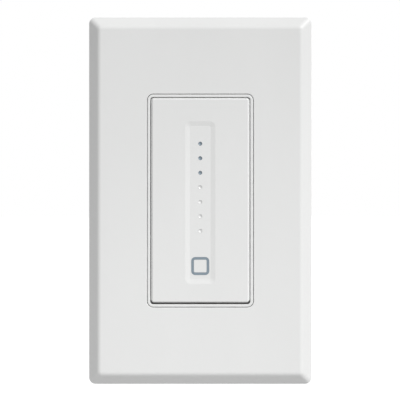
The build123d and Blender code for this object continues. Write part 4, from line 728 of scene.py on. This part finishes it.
def axial_lead_geometry(material):
    """Bent wires that carry the axial parts in a row: up from the board, along, and down again."""
    tree = Geometry("axial_leads", material, Reach=1.0, Lift=0.1, Bend=0.1, Wire=0.1)
    size = {"Width": tree["Reach"], "Height": tree["Lift"] * 2.0}
    loop = tree.node("GeometryNodeCurvePrimitiveQuadrilateral", {}, size)
    bend = {"Curve": tree.turned(loop, Vector((0.0, 0.0, math.pi))), "Radius": tree["Bend"]}
    soft = tree.node("GeometryNodeFilletCurve", {"mode": "POLY"}, {**bend, "Count": LEAD_BEND_STEPS})
    half_side = tree["Lift"] * 0.5 / (tree["Reach"] + tree["Lift"] * 2.0)
    upper_half = {"Curve": soft, "Start": 0.5 - half_side, "End": 1.0 - half_side}
    wire = tree.tube(tree.node("GeometryNodeTrimCurve", {}, upper_half), tree["Wire"], LEAD_SIDES)
    tree.repeat_in_line(tree.turned(wire, Vector((0.0, math.pi / 2, 0.0))))
    return tree


# Pieces


def cut_threads(winding, finishes):
    """Threads on the two box screws and the two plate screws, from a depth to near their points."""
    kinds = (
        ("box_screw", BOX_THREAD_START, BOX_SCREW_POINT, "screw_zinc"),
        ("plate_screw", PLATE_THREAD_START, PLATE_SCREW_POINT, "screw_white"),
    )
    for kind, start, point, slot in kinds:
        lower, upper = middle(f"{kind}_lower"), middle(f"{kind}_upper")
        first, last = (Vector((place.x, start, place.z)) for place in (lower, upper))
        _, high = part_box(f"{kind}_upper")
        length = high.y - point - start
        thread = winding.grow(
            f"{kind}_threads",
            slot,
            Radius=SCREW_RADIUS,
            Ridge=THREAD_RIDGE,
            Turns=length / THREAD_PITCH,
            Length=length,
            First=first,
            Step=last - first,
            Count=2,
            Finish=finishes[slot],
        )
        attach(thread, "switch")


def wind_spring(winding, side, finish):
    """A return spring that is squeezed between the frame's floor and the paddle."""
    node = f"paddle_spring_{side}"
    low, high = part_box(node)
    place = middle(node)
    wire = SPRING_WIRE / 2
    spring = winding.grow(
        f"return_spring_{side}",
        "spring_steel",
        Radius=(high.x - low.x) / 2 - wire,
        Ridge=wire,
        Sides=SPRING_SIDES,
        Turns=SPRING_TURNS,
        Length=high.y - low.y - SPRING_WIRE,
        First=Vector((place.x, low.y + wire, place.z)),
        Finish=finish,
    )
    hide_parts(node)
    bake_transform(spring)


def wind_choke(winding, finish):
    """The wire on the choke's drum."""
    low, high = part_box("choke_winding")
    place = middle("choke_winding")
    length = high.y - low.y - CHOKE_WIRE
    wire = winding.grow(
        "choke_wire",
        "copper_winding",
        Radius=(high.x - low.x) / 2,
        Ridge=CHOKE_WIRE / 2,
        Sides=COIL_WIRE_SIDES,
        Turns=length / CHOKE_WIRE,
        Length=length,
        First=Vector((place.x, low.y + CHOKE_WIRE / 2, place.z)),
        Finish=finish,
    )
    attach(wire, "switch")


def wind_transformer(loops, finish):
    """The outer layer of wire on the transformer's bobbin, inside the core's two windows."""
    core_low, core_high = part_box("transformer_core")
    coil_low, coil_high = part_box("transformer_coil")
    front, back = core_low.y + TRANSFORMER_YOKE, core_high.y - TRANSFORMER_YOKE
    count = int((back - front) / TRANSFORMER_WIRE) - 1
    first = Vector((0.0, (front + back) / 2 - (count - 1) * TRANSFORMER_WIRE / 2, 0.0))
    wire = loops.grow(
        "transformer_wire",
        "copper_winding",
        Width=core_high.x - core_low.x - 2 * TRANSFORMER_YOKE,
        Height=coil_high.z - coil_low.z,
        Corner=COIL_CORNER,
        Wire=TRANSFORMER_WIRE / 2,
        First=first,
        Step=Vector((0.0, TRANSFORMER_WIRE, 0.0)),
        Count=count,
        Finish=finish,
    )
    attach(wire, "switch")


def place_row(blocks, name, slot, finish, **sizes):
    """A row of equal small blocks on the switch."""
    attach(blocks.grow(name, slot, Finish=finish, **sizes), "switch")


def solder_header(blocks, finish):
    """Solder joints where the header's pins come through the power board."""
    _, board_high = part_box("power_board")
    row_end = -PIN_PITCH * (PIN_COUNT - 1) / 2
    row = {
        "Size": SOLDER_SIZE,
        "Roundness": SOLDER_ROUNDNESS,
        "First": Vector((row_end, board_high.y, middle("board_header").z)),
        "Step": Vector((PIN_PITCH, 0.0, 0.0)),
        "Count": PIN_COUNT,
    }
    place_row(blocks, "header_solder_joints", "terminal_steel", finish, **row)


def fit_control_board(blocks, glaze, gold):
    """A column of chip resistors at each edge of the control board, and the pads of the radio's board."""
    _, board_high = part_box("control_board")
    module_low, module_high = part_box("wireless_module")
    for name, side in (("left", -1), ("right", 1)):
        chips = {
            "Size": CHIP_SIZE,
            "First": Vector((side * CHIP_COLUMN, board_high.y + CHIP_SIZE.y / 2, CHIP_LOWEST)),
            "Step": Vector((0.0, 0.0, CHIP_PITCH)),
            "Count": CHIP_COUNT,
        }
        place_row(blocks, f"chip_resistors_{name}", "black_moulding", glaze, **chips)
        edge = side * (module_high.x - PAD_SIZE.x / 2)
        pads = {
            "Size": PAD_SIZE,
            "First": Vector((edge, module_high.y, module_low.z + PAD_PITCH)),
            "Step": Vector((0.0, 0.0, PAD_PITCH)),
            "Count": PAD_COUNT,
        }
        place_row(blocks, f"module_pads_{name}", "brass", gold, **pads)


def fit_lenses(blocks, finish):
    """A yellow lens on each light: one for each dot, and a larger one for the square mark."""
    led_low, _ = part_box("level_led_1")
    heights = level_light_heights()
    row = {
        "Size": LENS_SIZE,
        "Roundness": LENS_ROUNDNESS,
        "First": Vector((0.0, led_low.y, heights[0])),
        "Step": Vector((0.0, 0.0, heights[1] - heights[0])),
        "Count": len(heights),
    }
    place_row(blocks, "level_led_lenses", "led_body", finish, **row)
    first = Vector((0.0, led_low.y, middle("power_mark_led").z))
    mark = {"Size": MARK_LENS_SIZE, "Roundness": LENS_ROUNDNESS, "First": first}
    place_row(blocks, "power_mark_led_lens", "led_body", finish, **mark)


def solder_axial_parts(bodies, leads, side, kind, waist, finish, wire_finish):
    """A column of axial parts on the back of the power board, at its left or right edge."""
    _, board_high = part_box("power_board")
    row = {"Step": Vector((0.0, 0.0, AXIAL_PITCH)), "Count": AXIAL_COUNT}
    place = Vector((side * AXIAL_COLUMN, board_high.y + LEAD_LIFT, AXIAL_LOWEST))
    sunk = Vector((place.x, board_high.y - LEAD_SINK, place.z))
    half = Vector((0.0, 0.0, AXIAL_LENGTH / 2))
    shape = {"Start": -half, "End": half, "Radius": AXIAL_RADIUS, "Waist": waist}
    parts = bodies.grow(kind, "black_moulding", First=place, Finish=finish, **shape, **row)
    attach(parts, "switch")
    shape = {"Reach": LEAD_REACH, "Lift": LEAD_LIFT + LEAD_SINK, "Bend": LEAD_WIRE, "Wire": LEAD_WIRE / 2}
    wires = leads.grow(f"{kind}_leads", "terminal_steel", First=sunk, Finish=wire_finish, **shape, **row)
    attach(wires, "switch")


def mould_strip_gauges(blocks, finish):
    """A small ridge on each side of the housing, which shows how much of a wire to strip."""
    housing_low, housing_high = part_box("rear_housing")
    for name, edge in (("left", housing_low.x), ("right", housing_high.x)):
        first = Vector((edge, housing_high.y - GAUGE_FROM_BACK - GAUGE_SIZE.y / 2, 0.0))
        gauge = {"Size": GAUGE_SIZE, "Roundness": GAUGE_ROUNDNESS, "Crease": GAUGE_CREASE, "First": first}
        place_row(blocks, f"strip_gauge_{name}", "housing_black", finish, **gauge)


# Stage


def seen_directly(tree):
    """1 for what the camera sees, straight or in metal or glass, and 0 for light that falls on things."""
    seen = tree.node("ShaderNodeLightPath", output="Is Camera Ray")
    for ray in ("Is Glossy Ray", "Is Transmission Ray"):
        seen = seen.most(tree.node("ShaderNodeLightPath", output=ray))
    return seen


def diffuse(tree, grey):
    """A matt shader of one grey."""
    return tree.node("ShaderNodeBsdfDiffuse", {}, {"Color": (grey, grey, grey, 1.0)})


def dress_floor(low):
    """A pale floor below the switch, seen white with the switch's shadow, and not seen from below."""
    half = FLOOR_SIZE / 2
    mesh = bpy.data.meshes.new("floor")
    corners = [(-half, -half), (half, -half), (half, half), (-half, half)]
    mesh.from_pydata([(x, y, low - FLOOR_DROP) for x, y in corners], [], [(0, 1, 2, 3)])
    floor = bpy.data.objects.new("floor", mesh)
    bpy.context.scene.collection.objects.link(floor)
    material = bpy.data.materials.new("floor_paper")
    material.use_nodes = True
    tree = NodeTree(material.node_tree)
    tree.tree.nodes.clear()
    glow = tree.node("ShaderNodeEmission", {}, {"Strength": FLOOR_GLOW_FOR_CAMERA})
    lit = tree.node("ShaderNodeAddShader", {}, {0: diffuse(tree, FLOOR_FOR_CAMERA), 1: glow})
    sides = {0: seen_directly(tree), 1: diffuse(tree, FLOOR_FOR_LIGHT), 2: lit}
    above = tree.node("ShaderNodeMixShader", {}, sides)
    below = tree.node("ShaderNodeNewGeometry", output="Backfacing")
    clear = tree.node("ShaderNodeBsdfTransparent")
    both = tree.node("ShaderNodeMixShader", {}, {0: below, 1: above, 2: clear})
    tree.node("ShaderNodeOutputMaterial", {}, {"Surface": both})
    mesh.materials.append(material)


def hang_lamp(name, kind, towards):
    """A lamp that shines from a direction. A near one also hangs at that place."""
    lamp = bpy.data.objects.new(name, bpy.data.lights.new(name, kind))
    bpy.context.scene.collection.objects.link(lamp)
    lamp.rotation_euler = towards.to_track_quat("Z", "Y").to_euler()
    if kind != "SUN":
        lamp.location = towards
    return lamp


def hang_far_lamp(name, towards, spread):
    """A lamp so far away that only its direction counts. The direction's length is its level."""
    lamp = hang_lamp(name, "SUN", towards)
    lamp.data.energy = towards.length * math.pi
    lamp.data.angle = spread
    return lamp


def light_studio():
    """An even pale surround, a broad lamp at the upper right, a soft one low in front and a fill behind."""
    world = bpy.data.worlds.new("studio")
    bpy.context.scene.world = world
    world.use_nodes = True
    tree = NodeTree(world.node_tree)
    tree.tree.nodes.clear()
    strength = AMBIENT + (1 - AMBIENT) * seen_directly(tree)
    surround = tree.node("ShaderNodeBackground", {}, {"Color": (1.0, 1.0, 1.0, 1.0), "Strength": strength})
    tree.node("ShaderNodeOutputWorld", {}, {"Surface": surround})
    hang_far_lamp("key", KEY_TOWARDS, KEY_SPREAD)
    back_fill = hang_far_lamp("back_fill", BACK_FILL_TOWARDS, BACK_FILL_SPREAD)
    back_fill.visible_glossy = False
    low_front = hang_lamp("low_front", "AREA", LOW_LAMP_PLACE)
    low_front.data.shape = "DISK"
    low_front.data.size = LOW_LAMP_SIZE
    low_front.data.energy = LOW_LAMP_LEVEL * (math.pi * LOW_LAMP_PLACE.length) ** 2
    low_front.visible_camera = False
    low_front.visible_glossy = False


def aim_camera(low, high):
    """A long lens straight in front, framed so that the plate is as wide as in the photograph."""
    view = (high.x - low.x) * PHOTO_SIDE / PLATE_WIDTH_IN_PHOTO
    data = bpy.data.cameras.new("camera")
    data.sensor_width = SENSOR_WIDTH
    data.lens = SENSOR_WIDTH * CAMERA_DISTANCE / view
    data.clip_end = 2 * FLOOR_SIZE
    camera = bpy.data.objects.new("camera", data)
    bpy.context.scene.collection.objects.link(camera)
    pixel = view / PHOTO_SIDE
    right = (PHOTO_SIDE / 2 - PLATE_MIDDLE_IN_PHOTO[0]) * pixel
    up = (PLATE_MIDDLE_IN_PHOTO[1] - PHOTO_SIDE / 2) * pixel
    camera.location = (right, low.y - CAMERA_DISTANCE, up)
    camera.rotation_euler = (math.pi / 2, 0, 0)
    bpy.context.scene.camera = camera


# The switch

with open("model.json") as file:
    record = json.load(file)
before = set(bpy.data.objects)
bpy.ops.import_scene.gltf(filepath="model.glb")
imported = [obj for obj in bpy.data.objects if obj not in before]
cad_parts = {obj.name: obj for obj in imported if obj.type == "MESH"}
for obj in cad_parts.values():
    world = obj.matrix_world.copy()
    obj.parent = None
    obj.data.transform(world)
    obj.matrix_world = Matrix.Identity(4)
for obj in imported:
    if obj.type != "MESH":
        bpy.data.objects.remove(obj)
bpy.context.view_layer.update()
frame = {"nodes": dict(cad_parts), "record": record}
finishes = make_finishes()
dress_solids(frame, finishes)

winding = winding_geometry(finishes["screw_zinc"])
cut_threads(winding, finishes)
for side in ("left", "right"):
    wind_spring(winding, side, finishes["spring_steel"])
wind_choke(winding, finishes["copper_wire"])
wind_transformer(loop_geometry(finishes["copper_wire"]), finishes["copper_wire"])

solder = finishes["solder"]
blocks = block_geometry(solder)
solder_header(blocks, solder)
fit_control_board(blocks, finishes["chip_glaze"], finishes["gold_plating"])
fit_lenses(blocks, finishes["phosphor"])
bodies, leads = axial_body_geometry(finishes["resistor_lacquer"]), axial_lead_geometry(solder)
solder_axial_parts(bodies, leads, -1, "resistors", RESISTOR_WAIST, finishes["resistor_lacquer"], solder)
solder_axial_parts(bodies, leads, 1, "diodes", 0.0, finishes["diode_moulding"], solder)
mould_strip_gauges(blocks, finishes["housing_black"])

plate_low, plate_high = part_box("wall_plate_cover")
dress_floor(plate_low.z)
light_studio()
aim_camera(plate_low, plate_high)
bpy.context.scene.view_settings.view_transform = "Standard"
